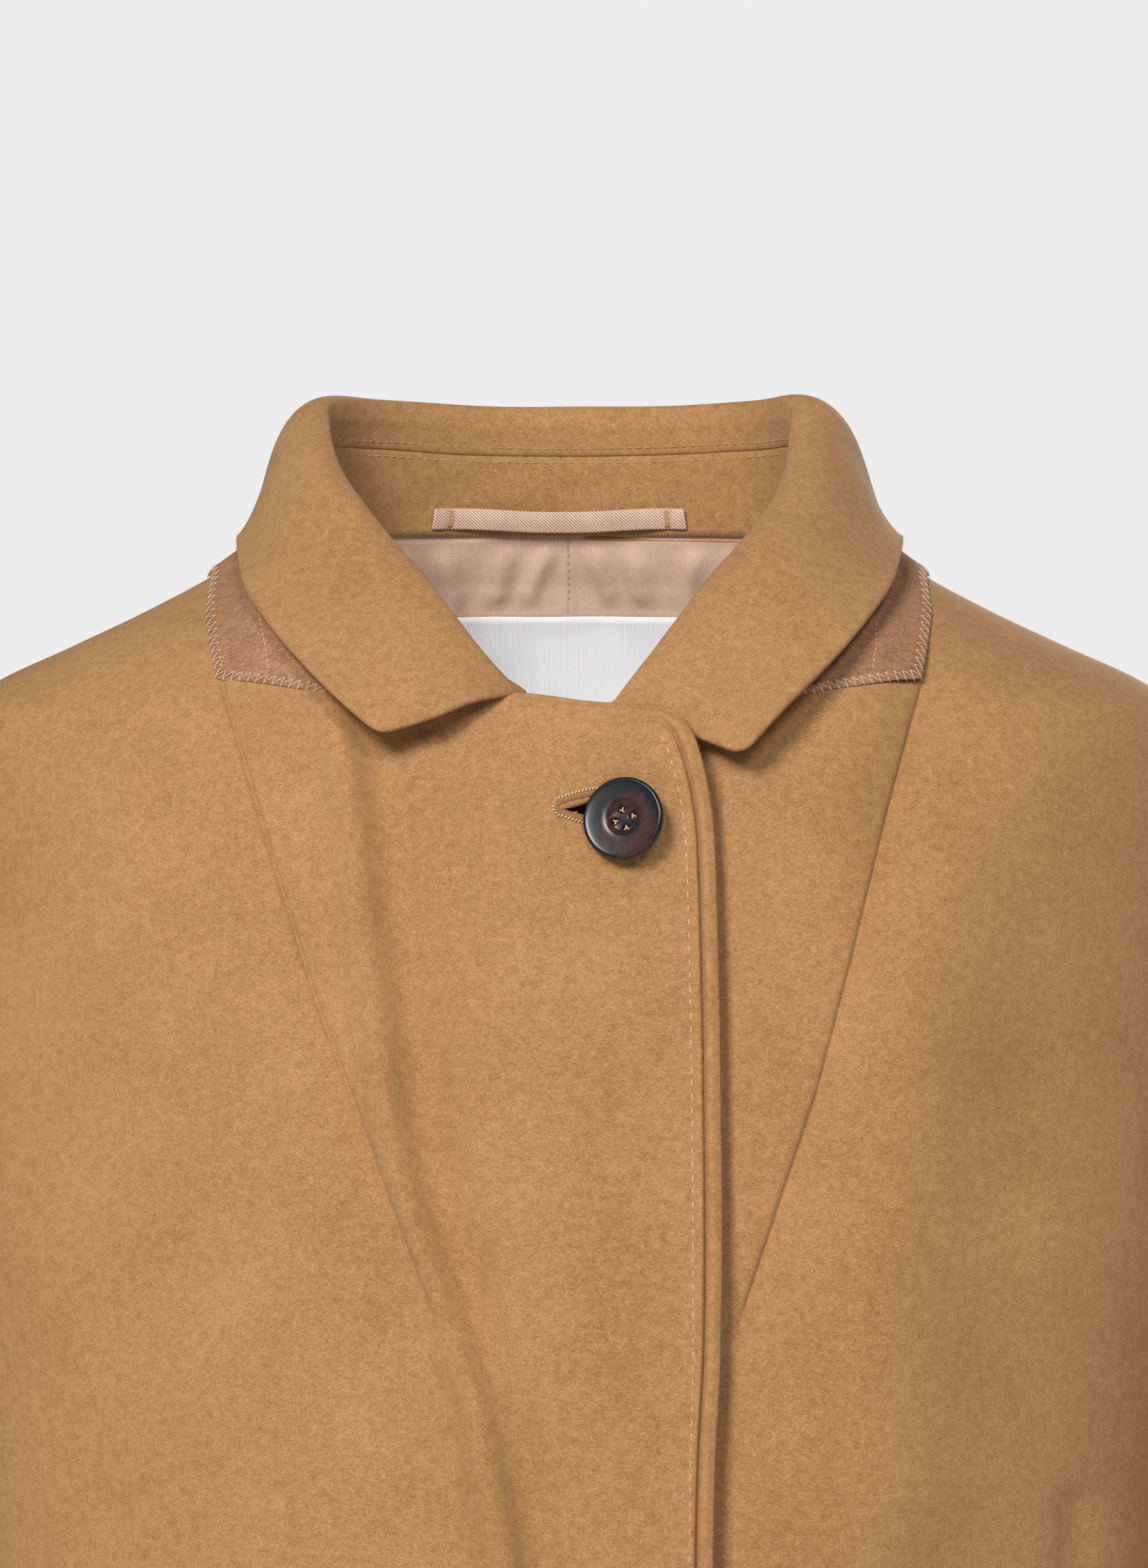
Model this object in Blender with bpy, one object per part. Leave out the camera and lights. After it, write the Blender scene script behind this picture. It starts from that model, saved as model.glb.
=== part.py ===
"""Camel wool coat as an empty worn form: its panels, sleeves, collar, felt, lining, loop, label and button.

Sizes are millimetres in the tables and metres in the meshes. X runs to the viewer's right, Y away from the
viewer and Z up; the front faces -Y. The origin is in the middle of the neck at the height of the shoulders.
"""
import math

import bmesh
import bpy
import numpy as np

MM = 0.001

WALL = 2.5
SEAM_HALF_GAP = 0.16
COLLAR_WALL = 2.6
STAND_WALL = 2.4
FELT_WALL = 2.0
LINING_WALL = 1.0
CLEAR = 0.4
FELT_CLEAR = 1.0
INSET = 4.2
SEAM_DROP = 18.0
SEAM_DROP_SHARE = 0.42
STAND_START = 2.2
FELT_SPLIT = 10

HEM_HEIGHT = -1050.0
SIDE_SEAM_TURN = 95.0
NECK_SIDE_HEIGHT = -15.5
NECK_BACK_HEIGHT = -10.0

UNDER_DROP = 5.0
LAP_RAISE = 3.8
LAP_CORNER_RAISE = 6.0
LAP_SKIRT_RAISE = 2.5

BUTTON_CENTRE = (19.5, -114.3)
BUTTON_RADIUS = 14.3
BUTTON_THICKNESS = 4.2
BUTTON_TURN = 14.0
BUTTON_BACK_RADIUS = 11.0
BUTTON_HOLE_CIRCLE = 3.4
BUTTON_HOLE_RADIUS = 1.2
BUTTON_HOLE_TURN = 18.0
BUTTON_LIFT = 0.6
BUTTONHOLE = (-3.2, 25.0, -110.6)
BUTTONHOLE_HALF_HEIGHT = 2.5

LABEL_BOX = (-40.5, 39.5, -82.0, -39.3)
LOOP_SPAN = (-50.0, 43.0)
LOOP_HEIGHT = 7.6
LOOP_WALL = 1.2
LOOP_BOW = 2.6
LABEL_WALL = 0.8
LINING_BOTTOM = -290.0
LINING_DEPTH = 7.0
LINING_TOP_DEPTH = 4.8
LINING_STEPS = (0.0, 0.025, 0.06, 0.10, 0.14, 0.19, 0.25, 0.34, 0.5, 0.75, 1.0)
# height, turn of the lining's outer edge
LINING_EDGE = (
    (-290.0, 103.0),
    (-230.0, 114.0),
    (-172.0, 118.0),
    (-110.0, 115.0),
    (-60.0, 111.0),
    (-15.5, 107.0),
)

# height, half_width, front_depth, back_depth, roundness
RINGS = (
    (-1050.0, 268.0, 146.0, 143.0, 2.15),
    (-620.0, 234.0, 131.0, 121.0, 2.20),
    (-430.0, 214.0, 127.0, 106.0, 2.20),
    (-371.0, 217.0, 130.0, 110.0, 2.25),
    (-275.0, 224.0, 131.0, 117.0, 2.30),
    (-200.0, 225.0, 125.0, 118.0, 2.30),
    (-150.0, 226.0, 118.0, 115.0, 2.25),
    (-100.0, 226.0, 107.0, 109.0, 2.20),
    (-77.0, 223.0, 98.0, 104.0, 2.15),
    (-65.0, 206.0, 92.0, 100.0, 2.10),
    (-52.0, 178.0, 83.0, 95.0, 2.05),
    (-38.6, 150.0, 71.0, 89.0, 2.00),
    (-25.4, 126.0, 56.0, 80.0, 2.00),
    (-20.5, 119.0, 49.0, 75.5, 2.00),
    (-15.5, 112.5, 42.0, 71.5, 2.00),
    (-9.0, 104.0, 34.0, 67.5, 2.00),
    (-2.0, 98.0, 26.0, 64.0, 2.00),
)

# edge_over, edge_under, height, outer_turn, outer_height, steps; edges are measured from the centre line to
# the panel's own side, so a minus is past the centre
FRONT_ROWS = (
    (-47.0, -12.0, -1050.0, 95.0, -1050.0, 5),
    (-48.0, -12.0, -620.0, 95.0, -620.0, 4),
    (-47.5, -12.0, -371.0, 95.0, -395.0, 2),
    (-50.5, -12.0, -286.0, 95.0, -318.0, 2),
    (-50.5, -12.0, -200.0, 95.0, -275.0, 2),
    (-49.0, -12.0, -128.0, 81.0, -260.0, 1),
    (-47.0, -12.0, -108.0, 74.0, -240.0, 1),
    (-43.0, -12.0, -93.5, 70.0, -222.0, 1),
    (-38.0, -12.0, -83.5, 67.5, -204.0, 1),
    (-28.0, -8.0, -76.0, 66.0, -186.0, 1),
    (-5.0, 6.0, -73.5, 65.7, -170.0, 1),
    (19.0, 22.0, -75.0, 65.8, -155.0, 2),
    (60.0, 60.0, -69.0, 67.0, -136.0, 1),
    (88.0, 88.0, -64.5, 69.5, -118.0, 1),
    (107.0, 107.0, -58.0, 73.0, -103.0, 1),
    (114.0, 114.0, -47.0, 77.5, -92.0, 1),
    (115.5, 115.5, -36.0, 81.5, -85.0, 1),
    (114.8, 114.8, -25.0, 86.0, -80.0, 1),
    (112.5, 112.5, -15.5, 90.0, -77.0, 1),
)
FRONT_COLUMNS = 15

# inner_turn, inner_height, outer_turn, outer_height, steps: half of the back, from the hem to the shoulder
# seam; the inner end climbs the centre back and then runs along the neckline
BACK_ROWS = (
    (180.0, -1050.0, 95.0, -1050.0, 4),
    (180.0, -620.0, 95.0, -620.0, 3),
    (180.0, -371.0, 95.0, -395.0, 2),
    (180.0, -240.0, 95.0, -275.0, 2),
    (180.0, -140.0, 103.0, -250.0, 2),
    (180.0, -70.0, 111.0, -210.0, 1),
    (180.0, -46.0, 112.5, -190.0, 1),
    (180.0, -30.0, 113.0, -172.0, 1),
    (180.0, -19.0, 112.5, -155.0, 1),
    (180.0, -10.0, 111.0, -138.0, 2),
    (160.0, -10.3, 108.5, -121.0, 2),
    (140.0, -11.1, 105.0, -106.0, 2),
    (122.0, -12.3, 100.0, -92.0, 2),
    (106.0, -13.7, 95.0, -82.0, 2),
    (90.0, -15.5, 90.0, -77.0, 1),
)
BACK_COLUMNS = 11

# outer_x, outer_z, inner_x, inner_z, half_wide, forward
SLEEVE_ROWS = (
    (242.0, -84.0, 228.5, -281.0, 60.0, 2.0),
    (263.0, -98.0, 230.0, -291.0, 64.0, 3.0),
    (284.0, -124.0, 231.0, -305.0, 67.0, 5.0),
    (302.0, -164.0, 232.0, -323.0, 69.0, 7.0),
    (314.0, -214.0, 233.5, -346.0, 69.0, 8.0),
    (321.0, -268.0, 235.0, -373.0, 68.0, 9.0),
    (327.0, -330.0, 238.0, -408.0, 66.0, 11.0),
    (332.0, -405.0, 243.0, -462.0, 64.0, 14.0),
    (337.0, -485.0, 249.0, -525.0, 61.0, 19.0),
    (341.0, -560.0, 256.0, -588.0, 58.0, 26.0),
    (344.0, -632.0, 263.0, -650.0, 55.0, 34.0),
    (346.0, -698.0, 267.0, -708.0, 52.0, 42.0),
)

# roll_x, roll_y, roll_z, edge_x, edge_y, edge_z, bulge: from the viewer's left front end to the right one
COLLAR_ROWS = (
    (-17.9, -103.0, -70.3, -64.5, -112.0, -83.1, 1.0),
    (-33.2, -91.0, -51.4, -78.4, -104.0, -71.3, 3.5),
    (-47.9, -75.0, -32.2, -92.6, -90.0, -57.4, 5.0),
    (-60.2, -60.0, -17.6, -105.4, -73.0, -42.6, 6.0),
    (-73.2, -42.0, -1.0, -114.6, -50.0, -29.6, 7.0),
    (-81.4, -22.0, 12.0, -118.4, -17.0, -14.6, 8.5),
    (-86.4, 0.0, 27.6, -118.6, 11.0, -12.2, 9.2),
    (-86.0, 22.0, 38.0, -113.5, 42.0, -16.0, 10.5),
    (-68.0, 46.0, 39.2, -89.0, 71.0, -22.0, 9.5),
    (-36.0, 59.0, 38.0, -47.0, 88.0, -25.0, 9.0),
    (0.0, 62.0, 37.7, 0.0, 94.0, -26.0, 9.0),
    (35.0, 59.0, 38.0, 47.0, 88.0, -25.0, 9.0),
    (66.0, 46.0, 38.8, 89.0, 71.0, -22.0, 10.0),
    (80.0, 22.0, 38.0, 114.5, 42.0, -16.0, 13.0),
    (79.5, 0.0, 24.5, 119.0, 11.0, -12.2, 11.5),
    (76.2, -22.0, 8.5, 118.8, -19.0, -14.8, 9.5),
    (69.3, -41.0, -5.7, 112.4, -53.5, -31.0, 7.0),
    (59.0, -58.0, -18.5, 99.0, -80.0, -48.0, 6.0),
    (46.5, -73.0, -32.6, 87.0, -92.0, -61.0, 5.0),
    (27.2, -91.0, -58.6, 72.4, -104.0, -75.1, 2.5),
    (14.6, -99.5, -73.0, 58.9, -110.5, -89.8, 0.3),
)

# neck_turn or neck_x, height, felt_x or felt_turn, felt_height: from the front end to the centre back
NECK_FRONT_ROWS = (
    (20.0, -74.0, 24.0, -78.0),
    (36.0, -70.6, 42.0, -75.5),
    (60.0, -68.5, 68.0, -73.0),
    (88.0, -64.5, 95.0, -68.7),
    (109.0, -56.5, 123.0, -64.4),
    (115.5, -37.0, 128.2, -42.0),
    (114.2, -20.0, 127.6, -28.5),
)
NECK_BACK_ROWS = (
    (104.0, -14.0, 103.0, -25.5),
    (133.0, -11.6, 133.0, -23.0),
    (157.0, -10.4, 157.0, -21.5),
    (180.0, -10.0, 180.0, -21.0),
)

# x, height along each dart on its own side, seen from the front
DART_LEFT = ((-121.0, -66.0), (-103.0, -125.0), (-87.0, -175.0), (-69.0, -223.0), (-44.5, -287.0))
DART_RIGHT = ((124.0, -66.0), (109.0, -118.0), (98.0, -158.0), (85.0, -207.0), (58.0, -287.0))
DRAPE_LEFT = (
    (-77.0, -98.0),
    (-57.0, -221.0),
    (-49.0, -240.0),
    (-35.5, -291.0),
    (-17.0, -364.0),
    (-8.0, -480.0),
)
DRAPE_RIGHT = ((150.0, -210.0), (138.0, -290.0), (128.0, -370.0), (120.0, -480.0))
WAIST_LEFT = ((-159.0, -352.0), (-157.0, -450.0), (-160.0, -540.0))
WAIST_RIGHT = ((177.0, -352.0), (174.0, -450.0), (176.0, -540.0))

COLOURS = {
    "camel": (0.46, 0.25, 0.10, 1.0),
    "felt": (0.37, 0.18, 0.09, 1.0),
    "satin": (0.52, 0.33, 0.23, 1.0),
    "white": (0.70, 0.70, 0.73, 1.0),
    "horn": (0.02, 0.015, 0.015, 1.0),
}


def smooth(places, values, where):
    """Monotone cubic through rows of values at rising places."""
    places = np.asarray(places, dtype=float)
    values = np.asarray(values, dtype=float)
    where = np.clip(np.asarray(where, dtype=float), places[0], places[-1])
    gaps = np.diff(places)
    rises = np.diff(values) / gaps
    slopes = np.zeros_like(values)
    same = rises[1:] * rises[:-1] > 0.0
    weight_a = 2.0 * gaps[1:] + gaps[:-1]
    weight_b = gaps[1:] + 2.0 * gaps[:-1]
    safe_low = np.where(same, rises[:-1], 1.0)
    safe_high = np.where(same, rises[1:], 1.0)
    blend = (weight_a + weight_b) / (weight_a / safe_low + weight_b / safe_high)
    slopes[1:-1] = np.where(same, blend, 0.0)
    slopes[0] = rises[0]
    slopes[-1] = rises[-1]
    index = np.clip(np.searchsorted(places, where, side="right") - 1, 0, len(gaps) - 1)
    t = (where - places[index]) / gaps[index]
    low = values[index]
    high = values[index + 1]
    pull_low = slopes[index] * gaps[index]
    pull_high = slopes[index + 1] * gaps[index]
    t2 = t * t
    t3 = t2 * t
    return (low * (2 * t3 - 3 * t2 + 1) + pull_low * (t3 - 2 * t2 + t)
            + high * (3 * t2 - 2 * t3) + pull_high * (t3 - t2))


def spline(rows, where):
    """Catmull-Rom through evenly numbered rows, at fractional row numbers."""
    rows = np.asarray(rows, dtype=float)
    last = len(rows) - 1
    where = np.clip(np.asarray(where, dtype=float), 0.0, last)
    index = np.minimum(where.astype(int), last - 1)
    t = (where - index)[..., None]
    before = rows[np.maximum(index - 1, 0)]
    low = rows[index]
    high = rows[index + 1]
    after = rows[np.minimum(index + 2, last)]
    pull_low = 0.5 * (high - before)
    pull_high = 0.5 * (after - low)
    t2 = t * t
    t3 = t2 * t
    return (low * (2 * t3 - 3 * t2 + 1) + pull_low * (t3 - 2 * t2 + t)
            + high * (3 * t2 - 2 * t3) + pull_high * (t3 - t2))


def step(low, high, value):
    """Soft step from 0 at low to 1 at high."""
    t = np.clip((np.asarray(value, dtype=float) - low) / (high - low), 0.0, 1.0)
    return t * t * (3.0 - 2.0 * t)


def unit(vectors):
    """Vectors of length one."""
    return vectors / np.maximum(np.linalg.norm(vectors, axis=-1, keepdims=True), 1e-9)


RING_TABLE = np.asarray(RINGS)


def ring(height):
    """Half width, front depth, back depth and roundness of the body at a height."""
    return [smooth(RING_TABLE[:, 0], sizes, height) for sizes in RING_TABLE.T[1:]]


def body_point(turn, height):
    """Point on the body's form; turn is 0 in front, 90 at the viewer's right and 180 behind."""
    turn = np.asarray(turn, dtype=float)
    height = np.asarray(height, dtype=float)
    wide, front, back, power = ring(height)
    sine = np.sin(np.radians(turn))
    cosine = np.cos(np.radians(turn))
    x = wide * np.sign(sine) * np.abs(sine) ** (2.0 / power)
    y = -np.where(cosine > 0.0, front, back) * np.sign(cosine) * np.abs(cosine) ** (2.0 / power)
    return np.stack([x, y, height + 0.0 * x], axis=-1)


def body_normal(turn, height):
    """Outward direction of the body's form."""
    turn = np.asarray(turn, dtype=float)
    height = np.asarray(height, dtype=float)
    along = body_point(turn + 0.8, height) - body_point(turn - 0.8, height)
    upward = body_point(turn, height + 1.2) - body_point(turn, height - 1.2)
    return unit(np.cross(along, upward))


def turn_at(x, height):
    """Turn of the point on the front half with this x at this height."""
    wide, front, back, power = ring(height)
    share = np.clip(np.abs(x) / wide, 0.0, 1.0) ** (power / 2.0)
    return np.sign(x) * np.degrees(np.arcsin(share))


def line_distance(path, x, z):
    """Distance from points to a path in the front view."""
    best = np.full(np.shape(x), 1e9)
    for start, end in zip(path[:-1], path[1:]):
        dx = end[0] - start[0]
        dz = end[1] - start[1]
        t = np.clip(((x - start[0]) * dx + (z - start[1]) * dz) / (dx * dx + dz * dz), 0.0, 1.0)
        best = np.minimum(best, np.hypot(x - start[0] - t * dx, z - start[1] - t * dz))
    return best


def trough(path, x, z, depth, width):
    """Soft trough along a path."""
    return -depth * np.exp(-(line_distance(path, x, z) / width) ** 2)


def drape(turn, height):
    """Hanging folds of the skirt, the same on every body panel."""
    fall = step(-420.0, -1050.0, height)
    radians = np.radians(turn)
    return fall * (4.5 * np.cos(7.0 * radians + 0.6) + 2.5 * np.sin(4.0 * radians + 1.1))


def front_form(turn, height):
    """Height of the cloth over the body's form on the fronts, without the lap."""
    point = body_point(turn, height)
    x = point[..., 0]
    z = point[..., 2]
    form = drape(turn, height)
    form = form + trough(DART_LEFT, x, z, 1.8, 7.0) + trough(DART_RIGHT, x, z, 1.8, 7.0)
    form = form + trough(DRAPE_LEFT, x, z, 3.0, 22.0) + trough(DRAPE_RIGHT, x, z, 3.0, 24.0)
    return form + trough(WAIST_LEFT, x, z, 1.8, 8.0) + trough(WAIST_RIGHT, x, z, 1.8, 8.0)


def lap_form(turn, height):
    """Extra height of the lapping front where the other front and collar lie under it."""
    point = body_point(turn, height)
    x = point[..., 0]
    z = point[..., 2]
    lap = (LAP_RAISE + LAP_SKIRT_RAISE * step(-180.0, -380.0, z)) * step(-50.0, -17.0, x)
    return lap + LAP_CORNER_RAISE * step(-22.0, 24.0, x) * step(-118.0, -88.0, z)


def front_cover(turn, height):
    """Height of the outermost front cloth that the collar and felt lie on."""
    turn = np.asarray(turn, dtype=float)
    lap = np.where(turn < 0.0, lap_form(turn, height), 0.0)
    return front_form(turn, height) + lap


class Maker:
    """Makes the objects, each with its own material, under one empty."""

    def __init__(self):
        self.root = bpy.data.objects.new("coat", None)
        bpy.context.scene.collection.objects.link(self.root)

    def material(self, name, colour, rough):
        shade = bpy.data.materials.new(name)
        shade.use_nodes = True
        node = shade.node_tree.nodes["Principled BSDF"]
        node.inputs["Base Color"].default_value = COLOURS[colour]
        node.inputs["Roughness"].default_value = rough
        return shade

    def solid(self, name, points, faces, colour, rough=0.9):
        mesh = bpy.data.meshes.new(name)
        mesh.from_pydata((np.asarray(points) * MM).tolist(), [], faces)
        work = bmesh.new()
        work.from_mesh(mesh)
        bmesh.ops.remove_doubles(work, verts=work.verts[:], dist=1e-7)
        bmesh.ops.triangulate(work, faces=work.faces[:])
        bmesh.ops.recalc_face_normals(work, faces=work.faces[:])
        work.to_mesh(mesh)
        work.free()
        mesh.materials.append(self.material(name + "_finish", colour, rough))
        made = bpy.data.objects.new(name, mesh)
        made.parent = self.root
        bpy.context.scene.collection.objects.link(made)
        return made

    def shell(self, name, outer, inner, colour, closed=False, rough=0.9):
        points, faces = shell_mesh(outer, inner, closed)
        return self.solid(name, points, faces, colour, rough)

    def cut(self, made, points, faces):
        tool_mesh = bpy.data.meshes.new("cutter")
        tool_mesh.from_pydata((np.asarray(points) * MM).tolist(), [], faces)
        work = bmesh.new()
        work.from_mesh(tool_mesh)
        bmesh.ops.recalc_face_normals(work, faces=work.faces[:])
        work.to_mesh(tool_mesh)
        work.free()
        tool = bpy.data.objects.new("cutter", tool_mesh)
        bpy.context.scene.collection.objects.link(tool)
        change = made.modifiers.new("cut", "BOOLEAN")
        change.operation = "DIFFERENCE"
        change.solver = "EXACT"
        change.object = tool
        graph = bpy.context.evaluated_depsgraph_get()
        result = bpy.data.meshes.new_from_object(made.evaluated_get(graph))
        made.modifiers.clear()
        bpy.data.objects.remove(tool)
        work = bmesh.new()
        work.from_mesh(result)
        bmesh.ops.remove_doubles(work, verts=work.verts[:], dist=1e-7)
        bmesh.ops.triangulate(work, faces=work.faces[:])
        work.to_mesh(result)
        work.free()
        made.data = result


def shell_mesh(outer, inner, closed=False, open_rows=0):
    """Closed mesh between an outer and an inner grid of points (rows, columns, 3).

    The first column has no wall for the first open_rows rows, where another half joins it.
    """
    rows, columns = outer.shape[:2]
    points = np.concatenate([outer.reshape(-1, 3), inner.reshape(-1, 3)])
    back = rows * columns
    faces = []
    spans = columns if closed else columns - 1
    for row in range(rows - 1):
        for column in range(spans):
            after = (column + 1) % columns
            a = row * columns + column
            b = row * columns + after
            c = (row + 1) * columns + after
            d = (row + 1) * columns + column
            faces.append((a, b, c, d))
            faces.append((d + back, c + back, b + back, a + back))
    for column in range(spans):
        after = (column + 1) % columns
        last = (rows - 1) * columns
        faces.append((column + back, after + back, after, column))
        faces.append((last + column, last + after, last + after + back, last + column + back))
    if not closed:
        for row in range(rows - 1):
            a = row * columns
            b = (row + 1) * columns
            if row >= open_rows:
                faces.append((a, b, b + back, a + back))
            end = columns - 1
            faces.append((b + end, a + end, a + end + back, b + end + back))
    return points, faces


def grid_normals(points, closed=False):
    """Directions square to a grid of points, from its neighbours."""
    if closed:
        along = np.roll(points, -1, axis=1) - np.roll(points, 1, axis=1)
    else:
        along = np.gradient(points, axis=1)
    across = np.gradient(points, axis=0)
    return unit(np.cross(along, across))


def row_steps(table):
    """Fractional row numbers, each row of a table cut into its number of steps."""
    places = []
    for number, row in enumerate(table[:-1]):
        count = int(row[-1])
        places.extend(number + part / count for part in range(count))
    places.append(len(table) - 1.0)
    return np.asarray(places)


def along_rows(table, places):
    """Straight runs between the rows of a table at fractional row numbers."""
    table = np.asarray(table, dtype=float)
    numbers = np.arange(len(table))
    return np.stack([np.interp(places, numbers, column) for column in table.T], axis=-1)


def front_grid(over):
    """Turn and height of a front's grid points on its own side."""
    rows = along_rows(FRONT_ROWS, row_steps(FRONT_ROWS))
    edge = rows[:, 0] if over else rows[:, 1]
    inner_height = rows[:, 2]
    if not over:
        inner_height = inner_height - UNDER_DROP * step(40.0, 0.0, edge) * step(-90.0, -74.0, inner_height)
    inner_turn = turn_at(edge, inner_height)
    inner_turn[-1] = 90.0
    share = np.linspace(0.0, 1.0, FRONT_COLUMNS)[None, :]
    turn = inner_turn[:, None] * (1.0 - share) + rows[:, 3][:, None] * share
    height = inner_height[:, None] * (1.0 - share) + rows[:, 4][:, None] * share
    return turn, height


def make_front(maker, name, over):
    """One front: the viewer's left one laps over."""
    turn, height = front_grid(over)
    if over:
        turn = -turn[:, ::-1]
        height = height[:, ::-1]
    point = body_point(turn, height)
    normal = body_normal(turn, height)
    form = front_form(turn, height)
    if over:
        form = form + lap_form(turn, height)
    outer = point + normal * form[..., None]
    inner = outer - normal * WALL
    seam = np.abs(np.abs(turn) - SIDE_SEAM_TURN) < 1e-6
    seam[-1, :] = True
    for grid in (outer, inner):
        grid[seam, 1] -= SEAM_HALF_GAP
    return maker.shell(name, outer, inner, "camel")


def make_back(maker):
    """The back, one piece across, from the hem to the shoulder seams and neckline."""
    rows = along_rows(BACK_ROWS, row_steps(BACK_ROWS))
    share = np.linspace(0.0, 1.0, BACK_COLUMNS)[None, :]
    turn = rows[:, 0][:, None] * (1.0 - share) + rows[:, 2][:, None] * share
    height = rows[:, 1][:, None] * (1.0 - share) + rows[:, 3][:, None] * share
    joined = int(np.sum(rows[:, 0] >= 180.0)) - 1
    points = []
    faces = []
    for side in (1.0, -1.0):
        point = body_point(side * turn, height)
        normal = body_normal(side * turn, height)
        outer = point + normal * drape(side * turn, height)[..., None]
        inner = outer - normal * WALL
        for grid in (outer, inner):
            grid[:, -1, 1] += np.where(rows[:, 3] <= -275.0, SEAM_HALF_GAP, 0.0)
            grid[-1, :, 1] += SEAM_HALF_GAP
            grid[:joined + 1, 0, 0] = 0.0
        half_points, half_faces = shell_mesh(outer, inner, open_rows=joined)
        start = len(points)
        points.extend(half_points.tolist())
        faces.extend(tuple(start + number for number in face) for face in half_faces)
    return maker.solid("back", points, faces, "camel")


def armhole_loop():
    """Armhole points at the viewer's right, from the shoulder point by the front, and their angles."""
    front_rows = along_rows(FRONT_ROWS, row_steps(FRONT_ROWS))
    back_rows = along_rows(BACK_ROWS, row_steps(BACK_ROWS))
    front = front_rows[front_rows[:, 4] >= -275.0][::-1, 3:5]
    back = back_rows[back_rows[:, 3] >= -275.0][1:-1, 2:4]
    loop = np.concatenate([front, back])
    points = body_point(loop[:, 0], loop[:, 1])
    closed = np.concatenate([points, points[:1]])
    length = np.concatenate([[0.0], np.cumsum(np.linalg.norm(np.diff(closed, axis=0), axis=1))])
    low = length[len(front) - 1]
    angle = np.where(length <= low, length / low, 1.0 + (length - low) / (length[-1] - low))
    return points, math.pi * angle[:-1], len(front) - 1


def make_sleeve(maker, name, side):
    """One sleeve: a tube from the armhole to the cuff."""
    loop, angle, under = armhole_loop()
    start = loop + np.asarray([0.5, 0.0, 0.0])
    rows = [start]
    for number, row in enumerate(SLEEVE_ROWS):
        top = np.asarray([row[0], -row[5], row[1]])
        low = np.asarray([row[2], -row[5], row[3]])
        centre = 0.5 * (top + low)
        axis = 0.5 * (top - low)
        tube = centre + np.cos(angle)[:, None] * axis
        tube[:, 1] -= row[4] * np.sin(angle)
        blend = float(step(0.0, 3.0, number + 1.0))
        moved = loop + (centre - 0.5 * (loop[0] + loop[under]))
        rows.append(tube * blend + moved * (1.0 - blend))
    outer = np.asarray(rows)
    outer = outer + elbow_folds(outer)
    normal = grid_normals(outer, closed=True)
    centre = outer.mean(axis=1, keepdims=True)
    facing = np.sum(normal * (outer - centre), axis=-1, keepdims=True)
    normal = np.where(facing < 0.0, -normal, normal)
    inner = outer - normal * WALL
    flip = np.asarray([side, 1.0, 1.0])
    return maker.shell(name, outer * flip, inner * flip, "camel", closed=True)


def elbow_folds(points):
    """Small inward folds on the front of the sleeve about the elbow."""
    height = points[..., 2]
    share = np.exp(-((height + 470.0) / 70.0) ** 2)
    wave = 2.0 * np.sin(height / 14.0) * share
    centre = points.mean(axis=1, keepdims=True)
    away = unit((points - centre) * np.asarray([1.0, 1.0, 0.0]))
    front = np.clip(-away[..., 1], 0.0, 1.0)
    return away * (wave * front)[..., None]


class Neck:
    """Sections round the neck: roll, leaf edge, neckline and felt edge by fractional row number."""

    def __init__(self):
        self.rows = np.asarray(COLLAR_ROWS)
        self.last = len(COLLAR_ROWS) - 1
        self.middle = self.last // 2
        front_neck = [(float(turn_at(row[0], row[1])), row[1]) for row in NECK_FRONT_ROWS]
        half_neck = front_neck + [(row[0], row[1]) for row in NECK_BACK_ROWS]
        self.neck = self.both_sides(half_neck)
        self.felt = self.both_sides(self.felt_half())

    def felt_half(self):
        """Felt edge at tenths of a row: straight runs in the front view, then by turn behind the shoulder."""
        last = len(NECK_FRONT_ROWS) - 1
        fronts = along_rows(NECK_FRONT_ROWS, np.linspace(0.0, last, FELT_SPLIT * last + 1))
        edge = [(float(turn_at(row[2], row[3])), float(row[3])) for row in fronts]
        behind = [edge[-1]] + [(row[2], row[3]) for row in NECK_BACK_ROWS]
        last = len(behind) - 1
        places = np.linspace(0.0, last, FELT_SPLIT * last + 1)[1:]
        return edge + [tuple(row) for row in along_rows(behind, places)]

    def both_sides(self, half):
        left = [(-turn, height) for turn, height in half]
        right = [(turn - 360.0 if turn >= 180.0 else turn, height) for turn, height in half]
        rows = np.asarray(left + [(row[0] - 360.0, row[1]) for row in right[:-1]][::-1])
        return rows

    def surface(self, place, lift):
        turn = np.where(place[..., 0] < -180.0, place[..., 0] + 360.0, place[..., 0])
        height = place[..., 1]
        front = np.abs(turn) < 90.0
        cover = np.where(front, front_cover(turn, height), drape(turn, height))
        normal = body_normal(turn, height)
        return body_point(turn, height) + normal * (cover + lift)[..., None], normal

    def at(self, where):
        """Frames of the sections at fractional row numbers."""
        where = np.asarray(where, dtype=float)
        table = spline(self.rows, where)
        neck_place = spline(self.neck, where)
        base, base_normal = self.surface(neck_place, np.zeros(len(where)))
        roll = table[:, 0:3]
        tangent = unit(spline(self.rows[:, 0:3], np.minimum(where + 0.12, self.last))
                       - spline(self.rows[:, 0:3], np.maximum(where - 0.12, 0.0)))
        down = unit(base - roll)
        out = unit(np.cross(tangent, down))
        return {
            "roll": roll,
            "edge": table[:, 3:6],
            "bulge": table[:, 6],
            "base": base,
            "base_normal": base_normal,
            "tangent": tangent,
            "down": down,
            "out": out,
            "length": np.linalg.norm(base - roll, axis=-1),
        }


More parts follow.
